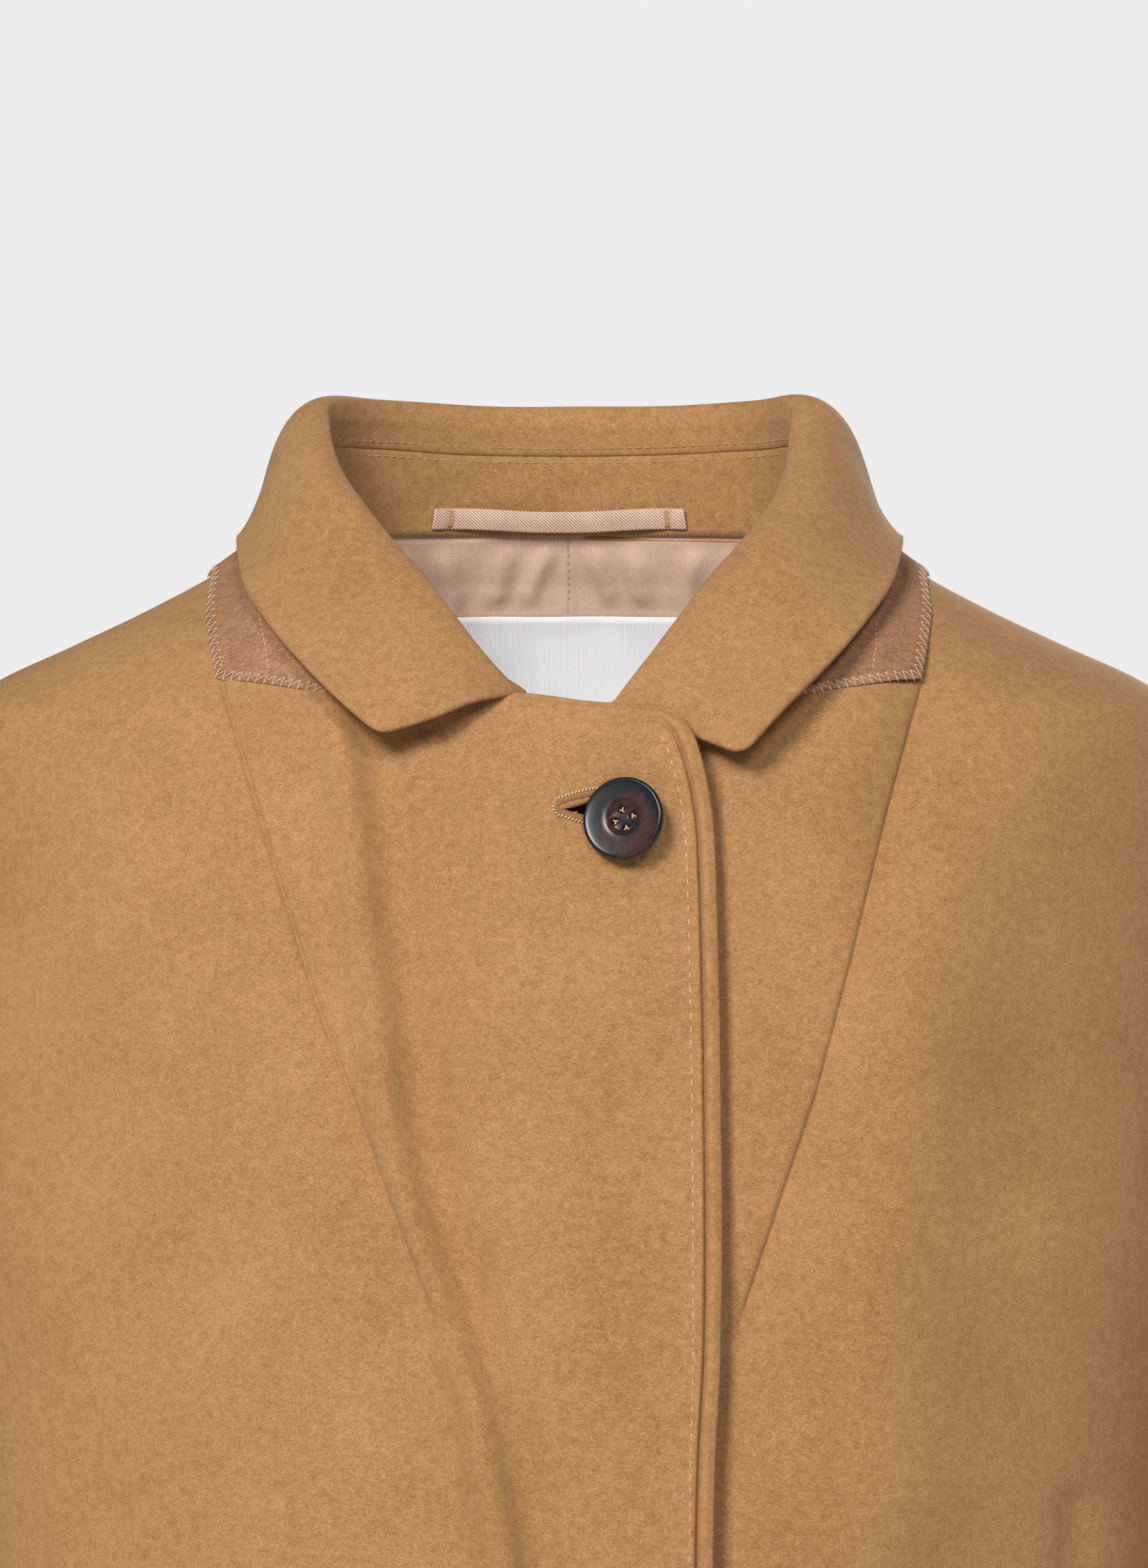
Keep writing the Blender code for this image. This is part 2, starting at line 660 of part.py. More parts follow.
def collar_grid(neck, where, fall_steps, inner_steps):
    """Visible face of the upper collar: from the leaf's edge over the roll to the seam with the stand."""
    frame = neck.at(where)
    roll = frame["roll"]
    chord = frame["edge"] - roll
    up = unit(np.cross(frame["tangent"], chord))
    up = np.where(np.sum(up * frame["out"], axis=-1, keepdims=True) < 0.0, -up, up)
    lines = []
    peak = 0.275 ** 0.55 * 0.725 ** 1.45
    for t in fall_steps:
        hump = t ** 0.55 * (1.0 - t) ** 1.45 / peak
        lines.append(roll + chord * t + up * (frame["bulge"] * hump)[:, None])
    lines.append(roll)
    drop = seam_drop(frame["length"])
    for t in inner_steps:
        inset = INSET * min(1.0, t / 0.4) ** 0.6
        lines.append(roll + frame["down"] * (drop * t)[:, None] - frame["out"] * inset)
    return np.asarray(lines).transpose(1, 0, 2)


def seam_drop(length):
    """Length from the roll to the stand seam inside."""
    return np.minimum(SEAM_DROP, SEAM_DROP_SHARE * length)


def make_collar(maker, neck):
    """Upper collar with its two leaves."""
    where = np.linspace(0.0, neck.last, 41)
    fall = (1.0, 0.8, 0.6, 0.42, 0.27, 0.14, 0.05)
    outer = collar_grid(neck, where, fall, (0.14, 0.5, 1.0))
    normal = grid_normals(outer)
    frame = neck.at(where)
    middle = 3
    if np.sum(normal[:, middle] * frame["out"]) < 0.0:
        normal = -normal
    normal[:, -2:] = -frame["out"][:, None]
    inner = outer - normal * COLLAR_WALL
    return maker.shell("collar", outer, inner, "camel")


def stand_places(neck):
    """Section numbers of the band and the felt."""
    return np.linspace(STAND_START, neck.last - STAND_START, 35)


def make_stand(maker, neck):
    """Inner band between the stand seam and the lining."""
    where = stand_places(neck)
    frame = neck.at(where)
    drop = seam_drop(frame["length"]) + 0.8
    away = np.abs(where - neck.middle)
    end = frame["length"] - 0.8 - 1.8 * step(2.2, 4.0, away) - 1.4 * step(4.5, 6.0, away)
    lines = []
    for t in (0.0, 0.5, 1.0):
        reach = drop * (1.0 - t) + end * t
        lines.append(frame["roll"] + frame["down"] * reach[:, None] - frame["out"] * INSET)
    outer = np.asarray(lines).transpose(1, 0, 2)
    inner = outer + frame["out"][:, None] * STAND_WALL
    return maker.shell("collar_stand", outer, inner, "camel")


def make_felt(maker, neck):
    """Felt undercollar: a flange on the body and the outer side of the stand."""
    where = stand_places(neck)
    frame = neck.at(where)
    felt_place = along_rows(neck.felt, FELT_SPLIT * where)
    neck_place = spline(neck.neck, where)
    behind = 1.0 - step(3.0, 4.5, np.abs(where - neck.middle))
    lift = FELT_CLEAR + FELT_WALL + 1.4 * behind
    edge, edge_normal = neck.surface(felt_place, lift)
    half, half_normal = neck.surface(0.55 * felt_place + 0.45 * neck_place, lift)
    corner_way = unit(frame["base_normal"] + frame["out"])
    corner = frame["base"] + corner_way * (CLEAR + FELT_WALL + 0.8 + 1.4 * behind)[:, None]
    lines = [edge, half, corner]
    ways = [edge_normal, half_normal, corner_way]
    for t in (0.3, 0.65, 1.0):
        reach = (frame["length"] - 5.0) * (1.0 - t) + np.minimum(8.0, 0.4 * frame["length"]) * t
        lines.append(frame["roll"] + frame["down"] * reach[:, None] + frame["out"] * (CLEAR + FELT_WALL))
        ways.append(frame["out"])
    outer = np.asarray(lines).transpose(1, 0, 2)
    inner = outer - np.asarray(ways).transpose(1, 0, 2) * FELT_WALL
    return maker.shell("undercollar", outer, inner, "felt")


def lining_grid(neck, side, rows, columns):
    """Visible face of one half of the back lining."""
    share = np.linspace(0.0, 1.0, columns)
    edge = np.asarray(LINING_EDGE)
    lines = []
    for t in rows:
        outer = smooth(edge[:, 0], edge[:, 1], LINING_BOTTOM * t + NECK_SIDE_HEIGHT * (1.0 - t))
        turn = 180.0 - share * (180.0 - outer)
        rise = NECK_BACK_HEIGHT + (NECK_SIDE_HEIGHT - NECK_BACK_HEIGHT) * ((180.0 - turn) / 90.0) ** 2
        height = rise * (1.0 - t) + LINING_BOTTOM * t
        depth = LINING_TOP_DEPTH + (LINING_DEPTH - LINING_TOP_DEPTH) * step(0.0, 0.14, t)
        lines.append(body_point(side * turn, height) - body_normal(side * turn, height) * depth)
    face = np.asarray(lines)
    turn = 180.0 - share * (180.0 - edge[-1, 1])
    place = np.interp(180.0 - turn, 180.0 + neck.neck[neck.middle::-1, 0], np.arange(neck.middle, -1, -1))
    place = place if side < 0.0 else neck.last - place
    frame = neck.at(place)
    face[0] = frame["base"] - frame["down"] * 0.2 - frame["out"] * (INSET + 0.2)
    face[:, 0, 0] = SEAM_HALF_GAP * side
    return face


def make_lining(maker, neck, name, side):
    """Half of the back lining, hung from the stand."""
    face = lining_grid(neck, side, LINING_STEPS, 12)
    normal = grid_normals(face)
    inward = np.asarray([0.0, -1.0, 0.0])
    if np.sum(normal * inward) < 0.0:
        normal = -normal
    backing = face - normal * LINING_WALL
    backing[:, 0, 0] = face[:, 0, 0]
    return maker.shell(name, face, backing, "satin", rough=0.5)


def inside_back(x, height, lift):
    """Point on the lining's visible face at an x and height, moved into the coat by lift."""
    x = np.asarray(x, dtype=float)
    height = np.asarray(height, dtype=float)
    wide, front, back, power = ring(height)
    share = np.clip(np.abs(x) / wide, 0.0, 0.999) ** (power / 2.0)
    turn = np.sign(x) * (180.0 - np.degrees(np.arcsin(share)))
    turn = np.where(x == 0.0, 180.0, turn)
    normal = body_normal(turn, height)
    return body_point(turn, height) - normal * (LINING_DEPTH + lift)[..., None], -normal


def make_label(maker):
    """Bare woven label on the lining."""
    x = np.linspace(LABEL_BOX[0], LABEL_BOX[1], 9)[None, :]
    z = np.linspace(LABEL_BOX[2], LABEL_BOX[3], 5)[:, None]
    x = x + 0.0 * z
    z = z + 0.0 * x
    back, way = inside_back(x, z, np.full(x.shape, 1.0))
    return maker.shell("label", back + way * LABEL_WALL, back, "white", rough=0.7)


def make_loop(maker, neck):
    """Hanger loop across the stand's lower edge."""
    x = np.linspace(LOOP_SPAN[0], LOOP_SPAN[1], 15)
    where = np.interp(x, spline(neck.rows, np.linspace(8.0, 12.0, 81))[:, 0], np.linspace(8.0, 12.0, 81))
    frame = neck.at(where)
    middle = 0.5 * (LOOP_SPAN[0] + LOOP_SPAN[1])
    share = np.clip(1.0 - np.abs(x - middle) / (0.5 * (LOOP_SPAN[1] - LOOP_SPAN[0])), 0.0, 1.0)
    bow = LOOP_BOW * step(0.10, 0.55, share)
    reach = frame["length"] - 6.0
    lines = []
    for t in (-0.5, 0.0, 0.5):
        low = LOOP_HEIGHT * t - 1.2 * step(0.2, 0.9, share)
        point = frame["roll"] + frame["down"] * (reach - low)[:, None]
        lines.append(point - frame["out"] * (INSET + CLEAR + 1.3 + bow)[:, None])
    face = np.asarray(lines)
    return maker.shell("hanger_loop", face, face + frame["out"][None] * LOOP_WALL, "satin", rough=0.5)


def front_place(x, height, lift):
    """Point and direction on the lapping front's face."""
    turn = turn_at(np.asarray(x), np.asarray(height))
    normal = body_normal(turn, height)
    raised = front_form(turn, height) + lap_form(turn, height) + lift
    return body_point(turn, height) + normal * raised[..., None], normal


def make_button(maker):
    """Round button with a raised rim, a dished middle and four holes."""
    edge = BUTTON_RADIUS
    top = BUTTON_THICKNESS
    profile = ((0.0, 2.5), (4.9, 2.5), (5.7, 3.3), (10.8, 3.5), (edge - 1.9, top), (edge - 0.6, top - 0.2),
               (edge, top - 1.2), (edge - 0.4, 1.2), (BUTTON_BACK_RADIUS, 0.0), (0.0, 0.0))
    count = 32
    angle = 2.0 * math.pi * np.arange(count) / count
    points = [(0.0, 0.0, profile[0][1])]
    for radius, rise in profile[1:-1]:
        points.extend((radius * math.cos(a), radius * math.sin(a), rise) for a in angle)
    points.append((0.0, 0.0, 0.0))
    faces = []
    for k in range(count):
        n = (k + 1) % count
        faces.append((0, 1 + k, 1 + n))
        for band in range(len(profile) - 3):
            a = 1 + band * count
            faces.append((a + k, a + count + k, a + count + n, a + n))
        last = 1 + (len(profile) - 3) * count
        faces.append((last + k, len(points) - 1, last + n))
    place = button_place()
    made = maker.solid("button", place_points(np.asarray(points), place), faces, "horn", rough=0.25)
    for number in range(4):
        turn = math.radians(BUTTON_HOLE_TURN + 90.0 * number)
        x = BUTTON_HOLE_CIRCLE * math.cos(turn)
        y = BUTTON_HOLE_CIRCLE * math.sin(turn)
        bore = 2.0 * math.pi * np.arange(10) / 10
        outline = [(x + BUTTON_HOLE_RADIUS * math.cos(a), y + BUTTON_HOLE_RADIUS * math.sin(a)) for a in bore]
        hole_points, hole_faces = prism(outline, -2.0, 6.0)
        maker.cut(made, place_points(np.asarray(hole_points), place), hole_faces)
    return made


def button_place():
    """Middle of the button's back and its three directions."""
    x = np.asarray([BUTTON_CENTRE[0]])
    z = np.asarray([BUTTON_CENTRE[1]])
    point, normal = front_place(x, z, np.asarray([0.0]))
    face = normal[0]
    yaw = math.radians(BUTTON_TURN)
    across = unit(np.cross(np.asarray([0.0, 0.0, 1.0]), face))
    outward = face * math.cos(yaw) - across * math.sin(yaw)
    right = unit(np.cross(np.asarray([0.0, 0.0, 1.0]), outward))
    upward = np.cross(outward, right)
    middle = point[0] + face * (BUTTON_LIFT + BUTTON_BACK_RADIUS * math.sin(yaw))
    return middle, right, upward, outward


def place_points(points, place):
    """Points of a small thing set at a place."""
    middle, right, upward, outward = place
    return middle + points[:, 0:1] * right + points[:, 1:2] * upward + points[:, 2:3] * outward


def prism(outline, low, high):
    """Closed prism over an outline."""
    count = len(outline)
    points = [(x, y, low) for x, y in outline] + [(x, y, high) for x, y in outline]
    faces = [tuple(range(count))[::-1], tuple(range(count, 2 * count))]
    for k in range(count):
        n = (k + 1) % count
        faces.append((k, n, n + count, k + count))
    return points, faces


def cut_buttonhole(maker, front):
    """Slit with pointed ends through the lapping front."""
    left, right, height = BUTTONHOLE
    middle = np.asarray([0.5 * (left + right)])
    point, normal = front_place(middle, np.asarray([height]), np.asarray([0.0]))
    face = normal[0]
    across = unit(np.cross(np.asarray([0.0, 0.0, 1.0]), face))
    upward = np.cross(face, across)
    half = 0.5 * (right - left)
    tall = BUTTONHOLE_HALF_HEIGHT
    outline = [(-half, 0.0), (-0.6 * half, -0.7 * tall), (0.0, -tall), (0.6 * half, -0.7 * tall),
               (half, 0.0), (0.6 * half, 0.7 * tall), (0.0, tall), (-0.6 * half, 0.7 * tall)]
    points, faces = prism(outline, -8.0, 8.0)
    maker.cut(front, place_points(np.asarray(points), (point[0], across, upward, face)), faces)


def main():
    for old in list(bpy.data.objects):
        bpy.data.objects.remove(old, do_unlink=True)
    maker = Maker()
    neck = Neck()
    over = make_front(maker, "front_right", True)
    cut_buttonhole(maker, over)
    make_front(maker, "front_left", False)
    make_back(maker)
    make_sleeve(maker, "sleeve_right", -1.0)
    make_sleeve(maker, "sleeve_left", 1.0)
    make_collar(maker, neck)
    make_stand(maker, neck)
    make_felt(maker, neck)
    make_loop(maker, neck)
    make_lining(maker, neck, "lining_back_right", -1.0)
    make_lining(maker, neck, "lining_back_left", 1.0)
    make_label(maker)
    make_button(maker)


main()
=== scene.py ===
"""Camel wool coat as an empty worn form, dressed for its picture.

The tables are millimetres, the meshes metres. X runs to the viewer's right, Y away from the viewer and Z up;
the front faces -Y and the origin is in the middle of the neck at the height of the shoulders.
"""
import logging
import math
from dataclasses import dataclass, field
from enum import Enum
from typing import Sequence

import bpy
import numpy as np
from mathutils.bvhtree import BVHTree
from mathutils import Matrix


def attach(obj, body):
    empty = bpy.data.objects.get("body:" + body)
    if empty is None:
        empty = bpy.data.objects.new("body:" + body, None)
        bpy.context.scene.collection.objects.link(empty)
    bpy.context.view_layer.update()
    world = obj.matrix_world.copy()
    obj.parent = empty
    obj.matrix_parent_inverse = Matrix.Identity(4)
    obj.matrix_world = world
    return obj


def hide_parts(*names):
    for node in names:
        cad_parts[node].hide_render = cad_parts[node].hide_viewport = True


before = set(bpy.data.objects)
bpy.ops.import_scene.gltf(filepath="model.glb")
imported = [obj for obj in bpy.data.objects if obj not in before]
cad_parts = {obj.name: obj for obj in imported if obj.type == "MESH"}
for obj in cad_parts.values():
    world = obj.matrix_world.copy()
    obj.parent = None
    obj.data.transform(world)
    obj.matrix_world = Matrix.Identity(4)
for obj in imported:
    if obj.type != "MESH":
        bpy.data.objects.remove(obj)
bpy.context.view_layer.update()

log = logging.getLogger("coat")

Array = np.ndarray
Pair = tuple[Array, Array]
Colour = tuple[float, float, float]
Piece = bpy.types.Object
Socket = bpy.types.NodeSocket
Plain = float | Sequence[float]
MM = 0.001
FRONTWARD = np.asarray([0.0, -1.0, 0.0])

# height, half_width, front_depth, back_depth, roundness
RINGS = (
    (-1050, 268, 146, 143, 2.15),
    (-620, 234, 131, 121, 2.2),
    (-430, 214, 127, 106, 2.2),
    (-371, 217, 130, 110, 2.25),
    (-275, 224, 131, 117, 2.3),
    (-200, 225, 125, 118, 2.3),
    (-150, 226, 118, 115, 2.25),
    (-100, 226, 107, 109, 2.2),
    (-77, 223, 98, 104, 2.15),
    (-65, 206, 92, 100, 2.1),
    (-52, 178, 83, 95, 2.05),
    (-38.6, 150, 71, 89, 2),
    (-25.4, 126, 56, 80, 2),
    (-20.5, 119, 49, 75.5, 2),
    (-15.5, 112.5, 42, 71.5, 2),
    (-9, 104, 34, 67.5, 2),
    (-2, 98, 26, 64, 2),
)

# edge_over, edge_under, height, outer_turn, outer_height; edges run from the centre to the panel's own side
FRONT_ROWS = (
    (-47, -12, -1050, 95, -1050),
    (-48, -12, -620, 95, -620),
    (-47.5, -12, -371, 95, -395),
    (-50.5, -12, -286, 95, -318),
    (-50.5, -12, -200, 95, -275),
    (-49, -12, -128, 81, -260),
    (-47, -12, -108, 74, -240),
    (-43, -12, -93.5, 70, -222),
    (-38, -12, -83.5, 67.5, -204),
    (-28, -8, -76, 66, -186),
    (-5, 6, -73.5, 65.7, -170),
    (19, 22, -70.6, 65.8, -155),
    (60, 60, -69, 67, -136),
    (88, 88, -64.5, 69.5, -118),
    (107, 107, -58, 73, -103),
    (114, 114, -47, 77.5, -92),
    (115.5, 115.5, -36, 81.5, -85),
    (114.8, 114.8, -25, 86, -80),
    (112.5, 112.5, -15.5, 90, -77),
)

# inner_turn, inner_height, outer_turn, outer_height: half of the back, from the hem to the shoulder seam
BACK_ROWS = (
    (180, -1050, 95, -1050),
    (180, -620, 95, -620),
    (180, -371, 95, -395),
    (180, -240, 95, -275),
    (180, -140, 103, -250),
    (180, -70, 111, -210),
    (180, -46, 112.5, -190),
    (180, -30, 113, -172),
    (180, -19, 112.5, -155),
    (180, -10, 111, -138),
    (160, -10.3, 108.5, -121),
    (140, -11.1, 105, -106),
    (122, -12.3, 100, -92),
    (106, -13.7, 95, -82),
    (90, -15.5, 90, -77),
)

# outer_x, outer_z, inner_x, inner_z, half_wide, forward
SLEEVE_ROWS = (
    (242, -84, 228.5, -281, 60, 2),
    (263, -98, 230, -291, 64, 3),
    (284, -124, 231, -305, 67, 5),
    (302, -164, 232, -323, 69, 7),
    (314, -214, 233.5, -346, 69, 8),
    (321, -268, 235, -373, 68, 9),
    (327, -330, 238, -408, 66, 11),
    (332, -405, 243, -462, 64, 14),
    (337, -485, 249, -525, 61, 19),
    (341, -560, 256, -588, 58, 26),
    (344, -632, 263, -650, 55, 34),
    (346, -698, 267, -708, 52, 42),
)

# roll_x, roll_y, roll_z, edge_x, edge_y, edge_z, bulge: from the viewer's left front end to the right one
COLLAR_ROWS = (
    (-17.9, -103, -70.3, -64.5, -112, -83.1, 1),
    (-33.2, -91, -51.4, -78.4, -104, -71.3, 3.5),
    (-47.9, -75, -32.2, -92.6, -90, -57.4, 5),
    (-60.2, -60, -17.6, -105.4, -73, -42.6, 6),
    (-73.2, -42, -1, -114.6, -50, -29.6, 7),
    (-81.4, -22, 12, -118.4, -17, -14.6, 8.5),
    (-86.4, 0, 27.6, -118.6, 11, -12.2, 9.2),
    (-86, 22, 38, -113.5, 42, -16, 10.5),
    (-68, 46, 39.2, -89, 71, -22, 9.5),
    (-36, 59, 38, -47, 88, -25, 9),
    (0, 62, 37.7, 0, 94, -26, 9),
    (35, 59, 38, 47, 88, -25, 9),
    (66, 46, 38.8, 89, 71, -22, 10),
    (80, 22, 38, 114.5, 42, -16, 13),
    (79.5, 0, 24.5, 119, 11, -12.2, 11.5),
    (76.2, -22, 8.5, 118.8, -19, -14.8, 9.5),
    (69.3, -41, -5.7, 112.4, -53.5, -31, 7),
    (59, -58, -18.5, 99, -80, -48, 6),
    (46.5, -73, -32.6, 87, -92, -61, 5),
    (27.2, -91, -58.6, 72.4, -104, -75.1, 2.5),
    (14.6, -99.5, -73, 58.9, -110.5, -89.8, 0.3),
)

# neck_x, height, felt_x, felt_height: from the front end to the shoulder
NECK_FRONT_ROWS = (
    (20, -74, 24, -78),
    (36, -70.6, 42, -75.5),
    (60, -68.5, 68, -73),
    (88, -64.5, 95, -68.7),
    (109, -56.5, 123, -64.4),
    (115.5, -37, 128.2, -42),
    (114.2, -20, 127.6, -28.5),
)
# neck_turn, height, felt_turn, felt_height: from the shoulder to the centre back
NECK_BACK_ROWS = (
    (104, -14, 103, -25.5),
    (133, -11.6, 133, -23),
    (157, -10.4, 157, -21.5),
    (180, -10, 180, -21),
)

# x, height along each line, seen from the front
DART_LEFT = ((-121, -66), (-103, -125), (-87, -175), (-69, -223), (-44.5, -287))
DART_RIGHT = ((124, -66), (109, -118), (98, -158), (85, -207), (58, -287))
DRAPE_LEFT = ((-77, -98), (-57, -221), (-49, -240), (-35.5, -291), (-17, -364),
              (-8, -480))
FOLD_LEFT = ((-82, -60), (-72, -100), (-67, -147), (-60.6, -189), (-58, -220),
             (-48.6, -252), (-38.2, -283), (-27.8, -314), (-22, -346), (-16, -375),
             (-8, -480))
ROLL_CREASE = ((-44, -83), (-33, -92), (-19, -97.5))
RIDGE_RIGHT = ((122, -150), (116, -210), (112, -280), (114, -340))
HOLLOW_RIGHT = ((127, -64), (114, -102), (104, -140))
DRAPE_RIGHT = ((150, -210), (138, -290), (128, -370), (120, -480))
WAIST_LEFT = ((-159, -352), (-157, -450), (-160, -540))
WAIST_RIGHT = ((177, -352), (174, -450), (176, -540))


def smooth(places: Array, values: Array, where: Array) -> Array:
    """Monotone cubic through values at rising places.

    Args:
        places: Rising places of the values.
        values: One value per place.
        where: Places to read.

    Returns:
        The value at each place asked for.
    """
    places = np.asarray(places, dtype=float)
    values = np.asarray(values, dtype=float)
    where = np.clip(np.asarray(where, dtype=float), places[0], places[-1])
    gaps = np.diff(places)
    rises = np.diff(values) / gaps
    slopes = np.zeros_like(values)
    same = rises[1:] * rises[:-1] > 0.0
    weight_a = 2.0 * gaps[1:] + gaps[:-1]
    weight_b = gaps[1:] + 2.0 * gaps[:-1]
    low_rise = np.where(same, rises[:-1], 1.0)
    high_rise = np.where(same, rises[1:], 1.0)
    slopes[1:-1] = np.where(same, (weight_a + weight_b) / (weight_a / low_rise + weight_b / high_rise), 0.0)
    slopes[0] = rises[0]
    slopes[-1] = rises[-1]
    index = np.clip(np.searchsorted(places, where, side="right") - 1, 0, len(gaps) - 1)
    t = (where - places[index]) / gaps[index]
    gap = gaps[index]
    return hermite(values[index], values[index + 1], slopes[index] * gap, slopes[index + 1] * gap, t)


def hermite(low: Array, high: Array, pull_low: Array, pull_high: Array, t: Array) -> Array:
    """Cubic between two values with the pull at each end.

    Args:
        low: Values at t = 0.
        high: Values at t = 1.
        pull_low: Slopes at t = 0.
        pull_high: Slopes at t = 1.
        t: Share of the way.

    Returns:
        The values at t.
    """
    t2 = t * t
    t3 = t2 * t
    return (low * (2 * t3 - 3 * t2 + 1) + pull_low * (t3 - 2 * t2 + t)
            + high * (3 * t2 - 2 * t3) + pull_high * (t3 - t2))


def spline(rows: Array, where: Array) -> Array:
    """Catmull-Rom through evenly numbered rows.

    Args:
        rows: Table of rows.
        where: Fractional row numbers.

    Returns:
        One row of the table per number.
    """
    rows = np.asarray(rows, dtype=float)
    last = len(rows) - 1
    where = np.clip(np.asarray(where, dtype=float), 0.0, last)
    index = np.minimum(where.astype(int), last - 1)
    before = rows[np.maximum(index - 1, 0)]
    after = rows[np.minimum(index + 2, last)]
    low = rows[index]
    high = rows[index + 1]
    return hermite(low, high, 0.5 * (high - before), 0.5 * (after - low), (where - index)[..., None])


def read_at(places: Array, marks: Array, rows: Array) -> Array:
    """Rows read at places, on straight runs between their rising marks."""
    return np.stack([np.interp(places, marks, column) for column in rows.T], axis=-1)


def along_rows(table: Sequence[Sequence[float]], places: Array) -> Array:
    """Straight runs between the rows of a table at fractional row numbers."""
    rows = np.asarray(table, dtype=float)
    return read_at(places, np.arange(len(rows)), rows)


def between(first: Array | float, second: Array | float, share: Array | float) -> Array:
    """Values a share of the way from one to another."""
    return first * (1.0 - share) + second * share


def row_numbers(counts: Sequence[int]) -> Array:
    """Numbers of the rows to draw, with a count from each line of a table to the next."""
    runs = [line + np.arange(count) / count for line, count in enumerate(counts)]
    return np.concatenate(runs + [[len(counts)]])


def passed(points: Array) -> Array:
    """Length along a run of points up to each of them."""
    return np.concatenate([[0.0], np.cumsum(np.linalg.norm(np.diff(points, axis=0), axis=1))])


def to_row_end(points: Array) -> Array:
    """Distance of each point of a grid from the last one of its row."""
    across = np.linalg.norm(np.diff(points, axis=1), axis=2)
    return np.concatenate([np.cumsum(across[:, ::-1], axis=1)[:, ::-1], np.zeros((len(points), 1))], axis=1)


def step(low: float, high: float, value: Array) -> Array:
    """Soft step from 0 at low to 1 at high."""
    t = np.clip((np.asarray(value, dtype=float) - low) / (high - low), 0.0, 1.0)
    return t * t * (3.0 - 2.0 * t)


def unit(vectors: Array) -> Array:
    """Vectors of length one."""
    return vectors / np.maximum(np.linalg.norm(vectors, axis=-1, keepdims=True), 1e-9)


def line_reach(path: Sequence[Sequence[float]], x: Array, z: Array) -> Pair:
    """Distance to a path in the front view, minus on one side of it, and the share of the path passed.

    Args:
        path: Points of the path, x and height.
        x: Sideways places.
        z: Heights.

    Returns:
        Signed distance, and the share of the path from 0 to 1.
    """
    points = np.asarray(path, dtype=float)
    lengths = np.hypot(*np.diff(points, axis=0).T)
    ends = np.concatenate([[0.0], np.cumsum(lengths)])
    best = np.full(np.shape(x), 1e9)
    side = np.ones(np.shape(x))
    share = np.zeros(np.shape(x))
    for number, length in enumerate(lengths):
        start = points[number]
        way = (points[number + 1] - start) / length
        along = np.clip((x - start[0]) * way[0] + (z - start[1]) * way[1], 0.0, length)
        off_x = x - start[0] - along * way[0]
        off_z = z - start[1] - along * way[1]
        reach = np.hypot(off_x, off_z)
        near = reach < best
        best = np.where(near, reach, best)
        side = np.where(near, np.sign(way[0] * off_z - way[1] * off_x + 1e-12), side)
        share = np.where(near, (ends[number] + along) / ends[-1], share)
    return best * side, share


def trough(path: Sequence[Sequence[float]], x: Array, z: Array, depth: float, width: float) -> Array:
    """Soft trough along a path."""
    return -depth * np.exp(-(line_reach(path, x, z)[0] / width) ** 2)


def fold(path: Sequence[Sequence[float]], x: Array, z: Array, depth: float, width: float) -> Array:
    """Hanging fold along a path that runs down: high on the left of it and half as low on the right.

    Args:
        path: Points of the path, x and height.
        x: Sideways places.
        z: Heights.
        depth: Height of the fold over the cloth.
        width: Width of either half.

    Returns:
        The fold's height at each place.
    """
    line = np.asarray(path)[::-1]
    reach = (x - np.interp(z, line[:, 1], line[:, 0])) / width
    fade = step(line[0, 1], line[0, 1] + 105.0, z) * step(line[-1, 1], line[-1, 1] - 40.0, z)
    return -2.33 * depth * np.where(reach < 0.0, reach, 0.5 * reach) * np.exp(-reach ** 2) * fade


def ripples(x: Array, z: Array, size: float, seed: float) -> Array:
    """Uneven swell of a hanging cloth, about -1 to 1.

    Args:
        x: Places across, millimetres.
        z: Places up, millimetres.
        size: Width of a swell.
        seed: Shifts the swells.

    Returns:
        The swell at each place.
    """
    total = np.zeros(np.shape(x))
    for number in range(5):
        way = 2.4 * number + seed
        pace = (1.0 + 0.37 * number) / size
        total += np.sin((x * math.cos(way) + z * math.sin(way)) * pace * 2.0 + 1.7 * number + seed)
    return total / 5.0


class Side(Enum):
    """Side of the coat by the sign of x in the front view; the wearer's right is the viewer's left."""

    RIGHT = -1.0
    LEFT = 1.0


class Slot(Enum):
    """Material slots of the coat."""

    WOOL = "wool"
    FELT = "felt"
    SATIN = "satin"
    LABEL = "label"
    HORN = "horn"


class Held(Enum):
    """Ways in which a cloth is held."""

    HUNG = "hung"
    LAID = "laid"
    FOLDED = "folded"


